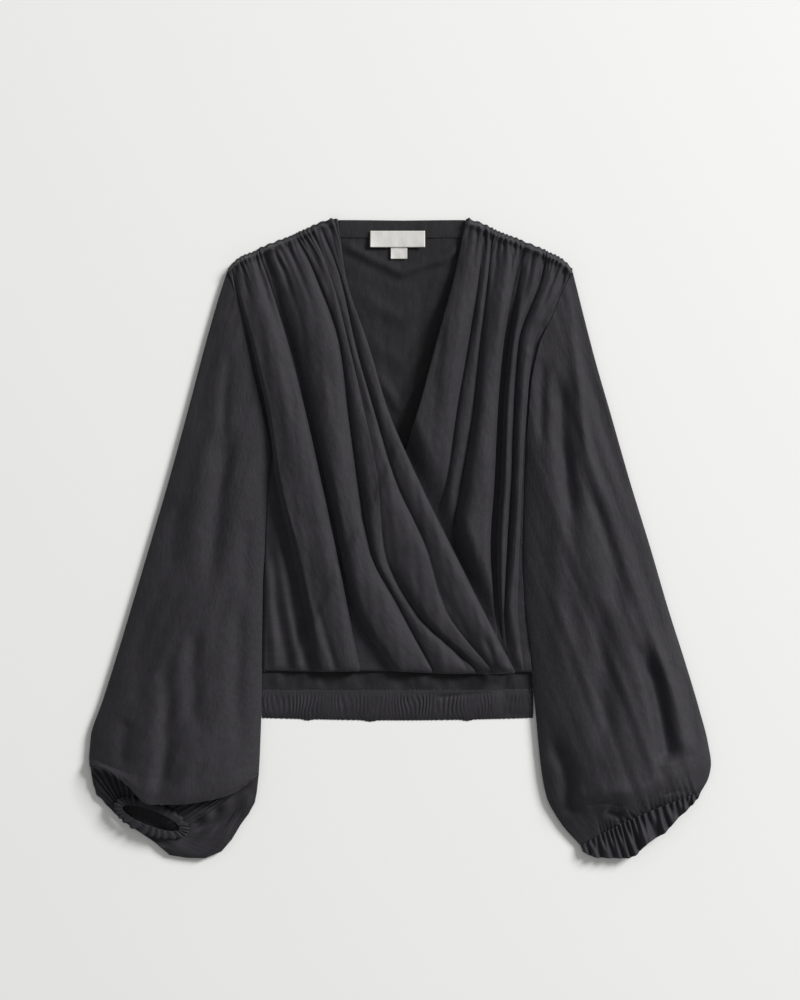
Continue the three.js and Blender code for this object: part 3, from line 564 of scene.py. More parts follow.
@dataclass
class Fronts:
    """The two crossing fronts: gathered at the shoulders, pleated down to the hem."""

    columns_per_fold: int = 14
    rows: int = 230
    crowding: float = 1.25
    bank: float = 0.7
    edge: float = 0.5
    lean_reach: float = 0.6
    gather_depth: float = 1.3
    # where the shoulder's gathers begin, as a distance from the middle
    gathered_x: Two = (60, 74)
    ruche_pitch: float = 5.4
    ruche_rise: float = 0.95
    ruche_reach: float = 17.0
    # ridge beside the shoulder seam: height, its pucker, place and half width
    ridge: Four = (1.8, 0.6, 4.5, 2.6)
    # heading above the shoulder seam: height, its pucker and reach
    heading: Three = (1.6, 0.7, 4.0)
    # height, wave length, squeeze and seed
    crumples: tuple = ((0.8, 36, 0.3, 3), (0.26, 13, 0.22, 8), (0.07, 6, 0.3, 21))
    # where the hem lifts off the casing: height, x and half width
    hem_lift: Three = (9.0, 110.0, 20.0)
    hem_roll: float = 9.0
    seam_roll: float = 4.5
    least_rise: float = 0.15
    over_gathers: tuple = (
        # place on the seam, depth, half width, length
        (-173, 1.6, 2.2, 26), (-166, 1.4, 2.0, 40), (-154, 2.6, 2.4, 72), (-149, 1.3, 1.8, 30),
        (-143, 1.6, 2.0, 36), (-133, 2.2, 2.2, 60), (-127, 1.5, 1.8, 34), (-121, 2.4, 2.2, 52),
        (-110, 1.6, 1.8, 28), (-101, 2.0, 2.2, 46), (-93, 1.5, 2.0, 30), (-84, 1.8, 2.2, 38),
        (-74, 1.2, 2.0, 24),
    )
    under_gathers: tuple = (
        (73, 1.2, 2.0, 26), (81, 1.6, 2.0, 34), (89, 1.8, 2.0, 44), (95, 1.4, 1.8, 26), (104, 2.2, 2.2, 50),
        (109, 1.4, 1.8, 26), (118, 1.8, 2.0, 38), (125, 2.2, 2.2, 46), (139, 1.6, 2.0, 34),
        (148, 2.0, 2.2, 56), (153, 1.4, 1.8, 26), (163, 1.8, 2.0, 40), (171, 1.4, 1.8, 24),
    )
    over_creases: tuple[Crease, ...] = creases(
        ([(-138, -10), (-135, -70), (-129, -138)], 3.0, 4.5, 0.3, 0.05),
        ([(-133, -50), (-124, -98), (-113, -138)], -1.6, 3.5, 0.3, 0.05),
        ([(-130, 10), (-120, -60), (-104, -138)], 3.4, 5, 0.3, 0.05),
        ([(-112, -60), (-104, -100), (-95, -138)], -2.6, 3.5, 0.3, 0.05),
        ([(-88, -60), (-78, -100), (-66, -138)], -2.0, 4, 0.3, 0.05),
        ([(57, -113), (64, -125), (70, -138)], -1.6, 3, 0.3, 0.05),
        ([(86, -100), (94, -118), (100, -138)], -1.8, 3.5, 0.3, 0.05),
        ([(-100, 60), (-94, 20), (-86, -20)], -0.9, 6),
        ([(-122, 190), (-112, 150), (-104, 110)], -1.0, 5),
        ([(-78, 170), (-70, 120), (-62, 80)], 0.9, 5),
        ([(-50, 185), (-38, 140), (-22, 100)], -1.1, 5),
        ([(-8, 60), (12, 20), (30, -20)], -1.0, 5),
        ([(-45, 20), (-30, -20), (-10, -50)], 0.9, 5),
        ([(40, -50), (58, -80), (76, -112)], -1.2, 5),
    )
    under_creases: tuple[Crease, ...] = creases(
        ([(47, 230), (40, 190), (33, 150)], -1.1, 5),
        ([(64, 240), (58, 180), (46, 120)], 0.8, 5),
        ([(100, 200), (94, 140), (88, 80)], -1.0, 5),
        ([(86, 60), (82, 10), (84, -40)], -1.2, 5),
        ([(152, 225), (142, 205), (134, 190)], -1.4, 5),
        ([(128, 150), (126, 90), (123, 30)], -0.9, 4),
        ([(132, -80), (127, -105), (124, -135)], -1.2, 4),
    )

    def support(self, x: Array, y: Array) -> Array:
        """Height under the outer front: the back's top, and the inner front's where it lies on that."""
        over = smooth_step(-18, -5, x - under_edge_x(NECK_Y - y))
        return (CLOTH + LAYER_GAP) * (1 + over)

    @staticmethod
    def curves(folds: list[FoldLine], side: Side, side_rise: tuple[float, ...]) -> list[FoldCurve]:
        """The side seam and the fold lines from left to right, each line some strips inside the seam."""
        inmost = np.maximum if side is Side.RIGHT else np.minimum

        def kept_in(fold: FoldLine, strips: int) -> Curve:
            """A fold line's x that stays a number of small strips inside the side seam."""
            line = smooth_table(FOLD_DROP, fold.x)
            gap = side.value * (SIDE_GAP + strips * FOLD_STRIP)
            return lambda y: inmost(line(NECK_Y - y), side_x[side](y) - gap)

        lines = [FoldCurve(fold.kind, kept_in(fold, i + 1 if side is Side.RIGHT else len(folds) - i),
                           smooth_table(FOLD_DROP, fold.rise), fold.lean) for i, fold in enumerate(folds)]
        seam = FoldCurve(V, lambda y: side_x[side](y) - side.value * SIDE_GAP,
                         smooth_table(FOLD_DROP, side_rise))
        return [seam, *lines] if side is Side.RIGHT else [*lines, seam]

    def lean_over(self, valley: FoldCurve, share: Array, climb: Array) -> Array:
        """How far a bank leans over its valley: a sine that is widest near the valley."""
        return valley.lean * np.sin(np.pi * share**self.lean_reach) * smooth_step(1, 6, climb)

    def strip(self, near: FoldCurve, far: FoldCurve, share: Array, gathers: tuple) -> tuple[Array, Array]:
        """One strip between two fold lines.

        Between a valley and a crest the height climbs as a quarter sine raised to a power, so banks are steep
        at the valley and round at the crest. A valley with a lean pulls the upper part of its bank over it.
        Gathers are bells cut into the rise, and the seam's pucker is a cosine with an uneven pitch.

        Args:
            near: the line at the strip's left.
            far: the line at its right.
            share: shares across.
            gathers: place, depth, half width and length of each short gather at the shoulder.

        Returns:
            Points with their rise as z, and how far each lies below the shoulder seam.
        """
        seam_y = np.full_like(share, NECK_Y)
        for _ in range(SEAM_ROUNDS):
            seam_x = near.x(seam_y) * (1 - share) + far.x(seam_y) * share
            seam_y = shoulder_seam_y(np.abs(seam_x)) - SEAM_GAP
        fall = np.linspace(0, 1, self.rows)[:, None] ** self.crowding
        y = seam_y + (self.hem_y(seam_x * 0.9) - seam_y) * fall
        x = near.x(y) * (1 - share) + far.x(y) * share
        low, high = near.rise(NECK_Y - y), far.rise(NECK_Y - y)
        if near.kind is far.kind:
            climb = smooth_step(0, 1, share)
        elif near.kind is V:
            climb = np.sin(share * np.pi / 2) ** self.bank
            x = x - self.lean_over(near, share, high - low)
        else:
            climb = 1 - np.sin((1 - share) * np.pi / 2) ** self.edge
            x = x + self.lean_over(far, 1 - share, low - high)
        fallen = seam_y - y
        rise = (low * (1 - climb) + high * climb) * (1 + (FOLD_DEPTH - 1) * smooth_step(20, 90, fallen))
        for place, depth, width, length in gathers:
            cut = bell(seam_x - place, width) * smooth_step(0, 5, fallen) * bell(fallen, length)
            rise = rise - self.gather_depth * depth * cut
        turns = seam_x / self.ruche_pitch + 0.8 * np.sin(seam_x / 8.5) + 0.04 * fallen * np.sin(seam_x / 5)
        pucker = np.cos(2 * np.pi * turns)
        hold = smooth_step(*self.gathered_x, np.abs(seam_x))
        ridge, ridge_pucker, ridge_place, ridge_width = self.ridge
        rise = rise + hold * (self.ruche_rise * pucker * np.exp(-((fallen / self.ruche_reach) ** 1.4))
                              + (ridge + ridge_pucker * pucker) * bell(fallen - ridge_place, ridge_width))
        heading, heading_pucker, heading_reach = self.heading
        y = y + hold * (heading + heading_pucker * (1 + pucker)) * np.exp(-fallen / heading_reach)
        fallen = np.broadcast_to(fallen + FAR * (1 - hold), rise.shape)
        return stacked(x, y, rise), fallen

    def panel(self, folds: list[FoldLine], side: Side, side_rise: tuple[float, ...],
              gathers: tuple, placed: tuple[Crease, ...], outer: bool) -> Array:
        """Points of a front's upper face: its strips side by side, with creases and crumples laid on top.

        Args:
            folds: the fold lines from left to right.
            side: which side seam bounds the panel.
            side_rise: height of that seam's edge.
            gathers: place, depth, half width and length of each short gather at the shoulder.
            placed: creases in the plane of the garment.
            outer: whether this is the front that lies on top.

        Returns:
            A grid of points.
        """
        curves = self.curves(folds, side, side_rise)
        share = np.linspace(0, 1, self.columns_per_fold + 1)[None, :]
        strips = [self.strip(near, far, share if far is curves[-1] else share[:, :-1], gathers)
                  for near, far in zip(curves, curves[1:])]
        x, y, rise = np.moveaxis(np.concatenate([points for points, _ in strips], axis=1), 2, 0)
        fallen = np.concatenate([fall for _, fall in strips], axis=1)
        calm = smooth_step(0, 6, rise) + 0.45
        rise = rise + crease_heights(placed, x, y) + calm * crumple_heights(self.crumples, x, y, side.value)
        lift, lift_x, lift_width = self.hem_lift
        rise = rise + lift * smooth_step(-112, -136, y) * bell(x - lift_x, lift_width)
        hem = np.clip((y - FRONT_HEM_Y) / self.hem_roll, 0, 1)
        rise = np.maximum(rise * (0.6 + 0.4 * np.sqrt(1 - (1 - hem) ** 2)), self.least_rise)
        if outer:
            z = self.support(x, y) + CLOTH + rise
        else:
            shown = smooth_step(-2, 28, x - over_edge_x(NECK_Y - y))
            z = CLOTH + LAYER_GAP + CLOTH + rise * shown
        rolled = smooth_step(self.seam_roll, 0, fallen)
        z = z * (1 - rolled) + SHELL * 1.1 * rolled
        return stacked(x, y, z)

    def hem_y(self, x: Array) -> Array:
        """The front hem's y: nearly level, with slow uneven waves."""
        return FRONT_HEM_Y + 1.4 * np.sin(x / 31.0 + 0.6) + 0.7 * np.sin(x / 11.0)

    def build(self) -> None:
        """Builds and dresses both fronts."""
        over = SheetMesh.sheet("front_over_cloth", self.panel(
            OVER_FOLDS, Side.RIGHT, OVER_SIDE_RISE, self.over_gathers, self.over_creases, True))
        CHARCOAL.dress(over, "front_over")
        under = SheetMesh.sheet("front_under_cloth", self.panel(
            UNDER_FOLDS, Side.LEFT, UNDER_SIDE_RISE, self.under_gathers, self.under_creases, False))
        CHARCOAL.dress(under, "front_under")


@dataclass
class Back:
    """The back in two halves, its neck facing with two bare labels, and the shirred casing at its hem."""

    rows: int = 170
    columns: int = 70
    # height, wave length, squeeze and seed, of the whole back and of the strip above its casing
    crumples: tuple = ((0.25, 30, 1, 31), (0.12, 8, 1, 32))
    buckles: tuple = ((1.5, 46, 0.3, 33), (0.7, 17, 0.3, 34))
    buckle_rise: float = 1.6
    # depth and half width of the centre seam's dip
    seam_dip: Two = (0.03, 1.6)
    casing_size: tuple[int, int] = (22, 620)
    gather_pitch: float = 4.2
    casing_rise: float = 3.0
    # how far the right end of the strip and the casing lie lower, which gives way under the front's hem
    end_drop: float = 1.4
    end_x: Two = (96, 112)
    # place and half width of the lumps in the casing's lower edge
    lumps: tuple = ((-96, 5), (-31, 6), (70, 5))
    # soft V-shaped folds across the back inside the neck
    drape: tuple[Crease, ...] = creases(
        ([(-62, 306), (-31, 291), (0, 276), (46, 290), (62, 303)], 2.6, 5, 0.1, 0.1),
        ([(-60, 298), (-31, 282), (0, 267), (44, 281), (60, 294)], -1.2, 4, 0.1, 0.1),
        ([(-50, 262), (-22, 240), (4, 226), (36, 244), (52, 262)], 1.4, 8),
        ([(-36, 214), (-12, 190), (6, 178), (26, 196), (38, 214)], 1.2, 8),
        ([(-26, 172), (0, 134), (24, 172)], 2.2, 6),
        ([(30, 300), (22, 240), (16, 180)], -0.7, 6),
        ([(-20, 250), (-16, 200), (-10, 150)], -0.5, 4),
    )
    tuck: Crease = Crease([(38, -166), (62, -163), (94, -159.5)], -1.6, 2.2, 0.1, 0.1)

    def dropped_end(self, x: Array) -> Array:
        """How far the strip and the casing lie lower towards their right end."""
        return self.end_drop * smooth_step(*self.end_x, x)

    def half(self, side: Side) -> Array:
        """Points of one half's upper face: ruled between the centre seam and the side, with the drape."""
        t = np.linspace(0, 1, self.rows)[:, None]
        s = np.linspace(0, 1, self.columns)[None, :]
        top = shoulder_seam_y(s * SHOULDER_X) - SEAM_GAP
        y = top + (CASING_TOP_Y + SEAM_GAP - top) * t
        seam = BACK_SEAM_X + side.value * 0.01
        edge = side_x[side](y) - side.value * SIDE_GAP
        x = seam + (edge - seam) * s
        dip, dip_width = self.seam_dip
        drape = crease_heights(self.drape, x, y) * smooth_step(-60, 60, y)
        z = CLOTH + drape - dip * bell(x - BACK_SEAM_X, dip_width) + crumple_heights(self.crumples, x, y)
        buckles = crumple_heights(self.buckles, x, y)
        z = z + smooth_step(-128, -146, y) * (self.buckle_rise + buckles - 2.4 * smooth_step(84, 104, x))
        joined = smooth_step(CASING_TOP_Y + 7, CASING_TOP_Y, y)
        z = z * (1 - joined) + (CASING_SEAM_Z - self.dropped_end(x)) * joined
        return stacked(x, y, np.maximum(z, SHELL + 0.2))

    def casing(self) -> Array:
        """Points of the casing's upper face: uneven upright gathers between two puckered edges."""
        left = float(side_x[Side.RIGHT](np.array(CASING_TOP_Y))) + SIDE_GAP
        right = float(side_x[Side.LEFT](np.array(CASING_TOP_Y))) - SIDE_GAP
        rows, columns = self.casing_size
        s = np.linspace(0, 1, columns)[None, :]
        t = np.linspace(0, 1, rows)[:, None]
        x = left + (right - left) * s
        turns = x / self.gather_pitch + 0.5 * np.sin(x / 14.0) + 0.25 * np.sin(x / 5.3 + 1)
        lumps = sum(bell(x - place, width) for place, width in self.lumps)
        edge = CASING_BOTTOM_Y - 2.5 * np.sin(np.pi * s) + 0.25 * np.cos(2 * np.pi * turns) - 1.5 * lumps
        y = CASING_TOP_Y + (edge - CASING_TOP_Y) * t
        puff = np.cos(np.pi * np.clip(t - 0.45, 0, 0.5)) ** 0.45
        depth = 0.20 + 0.10 * np.sin(x / 23.0) + 0.16 * ripple(x, y * 0.2, 21, 42)
        wave = np.cos(2 * np.pi * turns + 1.6 * np.sin(5 * t + x / 11) + 1.4 * ripple(x, y, 24, 43))
        fade = smooth_step(0.02, 0.3, t) * (1 - 0.7 * smooth_step(0.7, 1, t))
        swell = (self.casing_rise + depth * wave * fade + 0.5 * ripple(x, y, 40, 41)) * puff
        z = swell + self.tuck.height(x, y) + 0.3
        joined = smooth_step(0.22, 0, t)
        z = z * (1 - joined) + CASING_SEAM_Z * joined - self.dropped_end(x)
        return stacked(x, y, np.maximum(z, 0.5))

    def strip(self, x: Two, y: Two, floor: float, curl: float, bow: float,
              settle: float = 0.0) -> Array:
        """A small strip's upper face.

        Args:
            x: its left and right ends.
            y: its lower and upper edges.
            floor: its height.
            curl: how far its lower corners curl up.
            bow: how far its middle sags towards the hem.
            settle: how far its lower edge settles down.

        Returns:
            A grid of points.
        """
        s = np.linspace(0, 1, 50)[None, :]
        t = np.linspace(0, 1, 20)[:, None]
        px = x[0] + (x[1] - x[0]) * s
        py = y[1] + (y[0] - y[1]) * t - bow * np.sin(np.pi * s)
        lift = curl * t**2 * (np.abs(2 * s - 1) ** 4) - settle * t**3
        pz = floor + lift + 0.12 * ripple(px, py, 14, 51)
        return stacked(px, py, pz)

    @staticmethod
    def filled(name: str, grid: Array, crisp: bool = False) -> Piece:
        """A piece that is filled from its upper face down to the floor."""
        floor = grid.copy()
        floor[..., 2] = LIFT
        return SheetMesh.shell(name, grid, floor, False, crisp)

    def build(self) -> None:
        """Builds and dresses the back, its casing, facing and labels."""
        for side, name in ((Side.RIGHT, "back_right"), (Side.LEFT, "back_left")):
            half = self.filled(name + "_cloth", self.half(side), crisp=True)
            # Each half wears the darker copy of the charcoal, which paints the shade the back lies in
            BACK_PAINTED_SHADE.dress(half, name)
        CHARCOAL.dress(self.filled("waist_casing", self.casing()), "waistband_back")
        facing = self.strip((-65, 69), (312, 330), CLOTH + 1.5, 0.0, 0.5, 0.9)
        FACING.dress(SheetMesh.sheet("neck_facing", facing, LABEL_SHELL), "back_neck_facing")
        label = self.strip((-31, 26), (302, 319), 4.6, 2.2, 0.0)
        SATIN.dress(SheetMesh.sheet("neck_label_strip", label, LABEL_SHELL), "neck_label")
        size = self.strip((-9.5, 7.5), (290, 308), 3.4, 0.8, 0.0)
        SATIN.dress(SheetMesh.sheet("size_label_strip", size, LABEL_SHELL), "size_label")


def wrist_phase(share: Array) -> Array:
    """Phase of the small gathers on both sides of an elastic line, at shares of its length."""
    return 2 * np.pi * (WRIST_WAVES * share + 0.8 * np.sin(9 * share))


@dataclass
class Sleeve:
    """A full sleeve as rings from the armhole to the wrist."""

    side: Side
    rings: tuple[tuple[float, float, float, float, float], ...]
    placed: tuple[Crease, ...]
    elastic: tuple[Two, ...] = ()
    # how fast the hold on the armhole fades, and the rings over which the creases grow
    hug_power: int = 6
    head_rings: int = 3
    # gathers at the head: height, reach in rings and how many
    head_gathers: Three = (0.5, 1.1, 9)
    # gathers above the elastic: height, how far they draw the cloth down, and reach
    wrist_rise: float = 1.8
    wrist_draw: float = 2.5
    wrist_reach: float = 17.0
    # height, wave length, squeeze and seed
    crumples: tuple = ((1.7, 52, 0.12, 61), (0.5, 17, 0.14, 64), (0.1, 6, 0.3, 67))
    rows: int = 260
    top_columns: int = 124
    bottom_columns: int = 22

    def shares(self) -> tuple[Array, Array]:
        """Shares across the top half, and back across the bottom half, crowded towards the edges."""
        top = (1 - np.cos(np.pi * np.linspace(0, 1, self.top_columns))) / 2
        bottom = (1 - np.cos(np.pi * np.linspace(1, 0, self.bottom_columns + 2))) / 2
        return top, bottom[1:-1]

    def body(self) -> Array:
        """Rings of the sleeve: each runs from the outer fold to the side line, arched above, flat below."""
        table = np.array(self.rings, float)
        last = len(table) - 1
        s = np.linspace(0, last, self.rows)
        rings = smooth_table(np.arange(last + 1), table)(s)
        out_x, out_y, side_y, bow, height = np.moveaxis(rings, 1, 0)[..., None]
        line = side_x[self.side]
        inner_x = line(side_y)
        reach = np.hypot(inner_x - out_x, side_y - out_y)
        down_x, down_y = (side_y - out_y) / reach, -(inner_x - out_x) / reach
        sign = np.where(down_y > 0, -1, 1)
        hug = (1 - s[:, None] / last) ** self.hug_power
        top, bottom = self.shares()
        start_x, start_y, end_y = table[0, 0], table[0, 1], table[0, 2]
        end_x = float(line(np.array(end_y)))

        def plan(v: Array) -> tuple[Array, Array]:
            """Places across a ring, bowed towards the wrist, and hugging the armhole near it."""
            bend = bow * sign * np.sin(np.pi * v)
            seam_y = start_y + (end_y - start_y) * v
            seam_bend = hug * (line(seam_y) - (start_x + (end_x - start_x) * v))
            return (out_x + (inner_x - out_x) * v + bend * down_x + seam_bend,
                    out_y + (side_y - out_y) * v + bend * down_y)

        x, y = plan(top[None, :])
        arch = np.maximum(np.sin(np.pi * top), 0)[None, :] ** ARCH
        away = smooth_step(0, self.head_rings, s)[:, None]
        crumples = crumple_heights(self.crumples, x - y * self.lean, x * self.lean + y, self.side.value)
        detail = crease_heights(self.placed, x, y) * (0.4 + 0.6 * away) + (0.3 + 0.7 * away) * crumples
        detail = detail + self.wrist_gathers(x, y)
        z = SLEEVE_EDGE + (height - SLEEVE_EDGE + detail) * arch
        z = z + self.gathers(s[:, None], top[None, :], arch)
        upper = stacked(x, y, np.maximum(z, SLEEVE_EDGE * (0.6 + 0.4 * (1 - arch))))
        x, y = plan(bottom[None, :])
        return np.concatenate([upper, stacked(x, y, LIFT)], axis=1)

    @property
    def lean(self) -> float:
        """How much the sleeve's length leans across for each unit down."""
        return -0.38 * self.side.value

    def gathers(self, s: Array, v: Array, arch: Array) -> Array:
        """Small gathers at the sleeve head that die out below the seam."""
        height, reach, count = self.head_gathers
        wave = np.cos(2 * np.pi * (count * v + 0.7 * np.sin(7 * v)))
        return height * bell(s, reach) * wave * arch * (1 - v)

    def wrist_gathers(self, x: Array, y: Array) -> Array:
        """Gathers just above the elastic line, deepest at the line and gone at three times their reach."""
        if not self.elastic:
            return np.zeros_like(x)
        distance, share = near_path(x, y, self.elastic)
        wave = np.cos(wrist_phase(share))
        return (self.wrist_rise * wave - self.wrist_draw) * bell(distance, self.wrist_reach)


RIGHT_RINGS = (
    # outer fold x and y, side line y, bow, height
    (-179, 278, 80, 0, 9.5), (-187.5, 252, 66, 0, 10.5), (-201, 205, 45, 0, 12), (-219.5, 135, 12, 0, 14),
    (-240, 60, -32, 0, 15), (-259, -5, -78, 0, 16), (-276.5, -64, -118, 4, 18), (-294, -122, -155, 6, 20),
    (-308.5, -168, -186, 9, 22), (-321, -205, -212, 13, 24), (-323, -228, -232, 20, 25),
)
LEFT_RINGS = (
    (180, 276, 86, 0, 9.5), (186.5, 249, 70, 0, 10.5), (202, 188, 42, 0, 12), (220, 125, 5, 0, 14),
    (238.5, 60, -30, 0, 15), (260, -10, -75, 0, 16), (279, -75, -115, 4, 18), (296.5, -130, -155, 6, 20),
    (310, -175, -188, 8, 22), (319.5, -211, -216, 10, 24), (323, -234, -240, 13, 25),
    (320, -250, -268, 13, 23), (317, -256, -296, 6, 17), (312.5, -263.5, -319, -4, 10),
)


ELASTIC_LINE = (
    (208, -309), (228, -304), (247, -292), (260, -282), (286, -274.5), (310, -265),
)


@dataclass
class RightSleeveEnd:
    """The right sleeve's end: the top sheet rolls under, and the cuff's gathered ring faces up."""

    roll: tuple = (
        (-322, -236, 8), (-306, -238, 17), (-285, -252, 22), (-258, -275, 24),
        (-230, -275, 24), (-203, -272, 22), (-174, -264, 18), (-146.5, -244, 7),
    )
    outline: tuple = (
        (-322, -236), (-317, -262), (-307, -274), (-290, -292), (-273, -303.5), (-256, -315),
        (-237, -330), (-207, -333), (-186, -326), (-165, -297), (-150, -272), (-146.5, -244),
    )
    centre: Two = (-258.0, -290.0)
    long: float = 37.0
    short: float = 13.5
    turn: float = np.radians(-21)
    floor: float = 7.0
    wall: float = 1.0
    # the ring: points round and up it, how far it swells out, tucks in and climbs
    ring_points: int = 420
    ring_levels: int = 26
    swell: float = 2.6
    tuck: float = 5.5
    climb: float = 5.2
    # its gathers: how many, and their height outwards and upwards
    gathers: int = 26
    gather_out: float = 1.3
    gather_up: float = 0.6
    # the dip along its elastic: depth, level and half width
    dip: Three = (1.5, 0.45, 0.09)
    # the rings from the sleeve to the mouth, and the waves across them
    mouth_rings: int = 70
    waves: int = 17
    wave_height: float = 1.7
    mouth_crumples: tuple = ((1.2, 20, 1, 71),)
    folds: tuple[Crease, ...] = creases(
        ([(-152, -258), (-180, -270), (-212, -282)], -2.6, 5, 0.1, 0.2),
        ([(-152, -266), (-180, -280), (-212, -292)], 2.5, 5, 0.1, 0.2),
        ([(-158, -278), (-181, -294), (-216, -304)], -5.5, 5.5, 0.2, 0.2),
        ([(-160, -300), (-190, -310), (-214, -310)], 3.5, 6, 0.1, 0.2),
        ([(-192, -326), (-210, -320), (-230, -314)], -5.0, 3.5, 0.1, 0.2),
        ([(-316, -262), (-303, -274), (-292, -282)], -2.0, 4, 0.1, 0.2),
    )

    def oval(self, v: Array, arc: int, out: Array, z: Array) -> Array:
        """Points of the cuff's oval, v from its outer end to its inner end by the upper or the lower arc."""
        angle = np.pi * (1 - v) * arc
        along = (self.long + out) * np.cos(angle)
        across = (self.short + out) * np.sin(angle)
        x = self.centre[0] + along * np.cos(self.turn) - across * np.sin(self.turn)
        y = self.centre[1] + along * np.sin(self.turn) + across * np.cos(self.turn)
        return stacked(x, y, z)

    def rings(self, last: Array, top: Array, bottom: Array) -> Array:
        """Rings from the sleeve's last one, over the rolled edge, to the cuff's mouth.

        Args:
            last: the sleeve's last ring.
            top: shares across the top half.
            bottom: shares across the bottom half.

        Returns:
            The rings between, as a smooth surface through five given ones.
        """
        roll, outline = path_through(list(self.roll)), path_through([(*p, 0.0) for p in self.outline])
        roll_top, edge_bottom = roll(top), outline(bottom)
        bulge_top, bulge_bottom = np.sin(np.pi * top)[:, None], np.sin(np.pi * bottom)[:, None]
        up = np.array([[0.0, 0.0, 1.0]])
        inwards = np.array([[*self.centre, 0.0]]) - edge_bottom
        inwards /= np.linalg.norm(inwards, axis=1, keepdims=True)
        mouth_top, mouth_bottom = self.oval(top, 1, 0.0, self.floor), self.oval(bottom, -1, 0.0, self.floor)
        before = np.concatenate([0.4 * last[:len(top)] + 0.6 * roll_top + 1.5 * bulge_top * up,
                                 edge_bottom + 6 * bulge_bottom * inwards + LIFT * up])
        edge = np.concatenate([roll_top, edge_bottom + SLEEVE_EDGE * up])
        under_top = roll_top + 0.22 * (mouth_top - roll_top)
        under_top[:, 2] = roll_top[:, 2] + 0.62 * (self.floor - roll_top[:, 2])
        under_top[:, 1] += 4 * bulge_top[:, 0]
        under_bottom = edge_bottom + 0.3 * (mouth_bottom - edge_bottom)
        under_bottom[:, 2] = self.floor
        under = np.concatenate([under_top, under_bottom])
        mouth = np.concatenate([mouth_top, mouth_bottom])
        keys = np.stack([last, before, edge, under, mouth])
        s = np.linspace(0, 4, self.mouth_rings)[1:]
        rings = smooth_table(np.arange(5), keys)(s)
        around = np.concatenate([top, 2 - bottom])
        turned = smooth_step(1.6, 3.0, s)[:, None] * (1 - 0.4 * smooth_step(3.6, 4, s))[:, None]
        wave = np.cos(2 * np.pi * self.waves * around + 2.2 * np.sin(5 * around))[None, :]
        shown = np.where(np.arange(len(around)) < len(top), 1.0, 1.3)[None, :]
        x, y, z = np.moveaxis(rings, 2, 0)
        z = z + turned * shown * (self.wave_height * wave + crumple_heights(self.mouth_crumples, x, y))
        folded = z + smooth_step(1.2, 2.0, s)[:, None] * crease_heights(self.folds, x, y)
        return stacked(x, y, np.where(z > SLEEVE_EDGE, np.maximum(folded, LIFT + 1.1 * SHELL), z))

    def ring(self) -> Array:
        """Points of the cuff: a closed rounded band carried round the oval, drawn into uneven gathers."""
        around = np.linspace(0, 1, self.ring_points, endpoint=False)[None, :]
        levels = np.linspace(0, 1, self.ring_levels)[:, None]
        gather = np.cos(2 * np.pi * self.gathers * around + 1.6 * np.sin(2 * np.pi * 5 * around))
        swell = np.sin(np.pi * levels) ** 0.6
        beat = 1 + 0.5 * np.sin(2 * np.pi * 3 * around + 1)
        out = (self.swell * swell - self.tuck * smooth_step(0.5, 1, levels)
               + self.gather_out * beat * gather * swell)
        climb = np.sin(np.pi / 2 * np.clip(levels * 1.25, 0, 1))
        depth, level, width = self.dip
        z = (self.floor + self.wall + self.climb * climb + self.gather_up * beat * gather * levels
             - depth * bell(levels - level, width))
        return self.oval(1 - 2 * around, 1, out, z)

    def cuff(self) -> Piece:
        """The cuff with its wall inside the ring."""
        ring = self.ring()
        normal = SheetMesh.normals(ring, True)
        middle = len(ring) // 2, 0
        away = np.sign(normal[middle][:2] @ (ring[middle][:2] - np.array(self.centre)))
        return SheetMesh.shell("cuff_right_cloth", ring, ring - self.wall * away * normal, True)


@dataclass
class LeftSleeveEnd:
    """The left cuff: a flat ruffled tube beyond the elastic line."""

    hem: tuple = (
        (310.5, -268.5), (303, -277), (287, -292), (274, -306), (257, -316), (244, -329), (236, -332),
        (205, -331.5), (190, -326),
    )
    rows: int = 40
    top_columns: int = 230
    bottom_columns: int = 42
    height: float = 10.5
    # how many ruffles, their height, and the height of the small gathers that fade into them
    ruffles: int = 11
    ruffle_rise: float = 3.0
    gather_rise: float = 1.6

    def cuff(self, elastic: Array) -> Array:
        """Rings from the elastic line out to the hem, ruffled above and flat below.

        Args:
            elastic: the top half of the sleeve's last ring.

        Returns:
            The grid of a tube.
        """
        hem = path_through([(*p, 0.0) for p in self.hem])
        line = path_through([(*p[:2], 0.0) for p in elastic[::6]] + [(*elastic[-1][:2], 0.0)])
        t = np.linspace(0, 1, self.rows)[:, None, None]
        top = np.linspace(0, 1, self.top_columns)
        bottom = np.linspace(1, 0, self.bottom_columns)[1:-1] * 0.94 + 0.03

        def place(v: Array) -> Array:
            """Points between the elastic line and the hem at a share across."""
            start, end = line(v)[None], hem(v)[None]
            out = (end - start) / np.linalg.norm(end - start, axis=2, keepdims=True)
            start = start + 0.15 * out
            return start + (end - start) * t

        upper, lower = place(top), place(bottom)
        arch = np.maximum(np.sin(np.pi * top), 0)[None, :] ** 0.4
        grow = smooth_step(0.05, 0.8, t[..., 0])
        phase = 2 * np.pi * (self.ruffles * top + 0.5 * np.sin(8 * top) + 0.2 * np.sin(19 * top))[None, :]
        fine = wrist_phase(top)[None, :]
        vary = (1 + 0.4 * np.sin(14 * top + 1))[None, :]
        ruffle = (self.ruffle_rise * vary * np.sin(phase + 0.9 * t[..., 0]) * grow
                  + self.gather_rise * np.cos(fine) * (1 - 0.75 * grow))
        upper[..., 2] = SLEEVE_EDGE + (self.height - SLEEVE_EDGE + ruffle) * arch
        lower[..., 2] = LIFT
        return np.concatenate([upper, lower], axis=1)


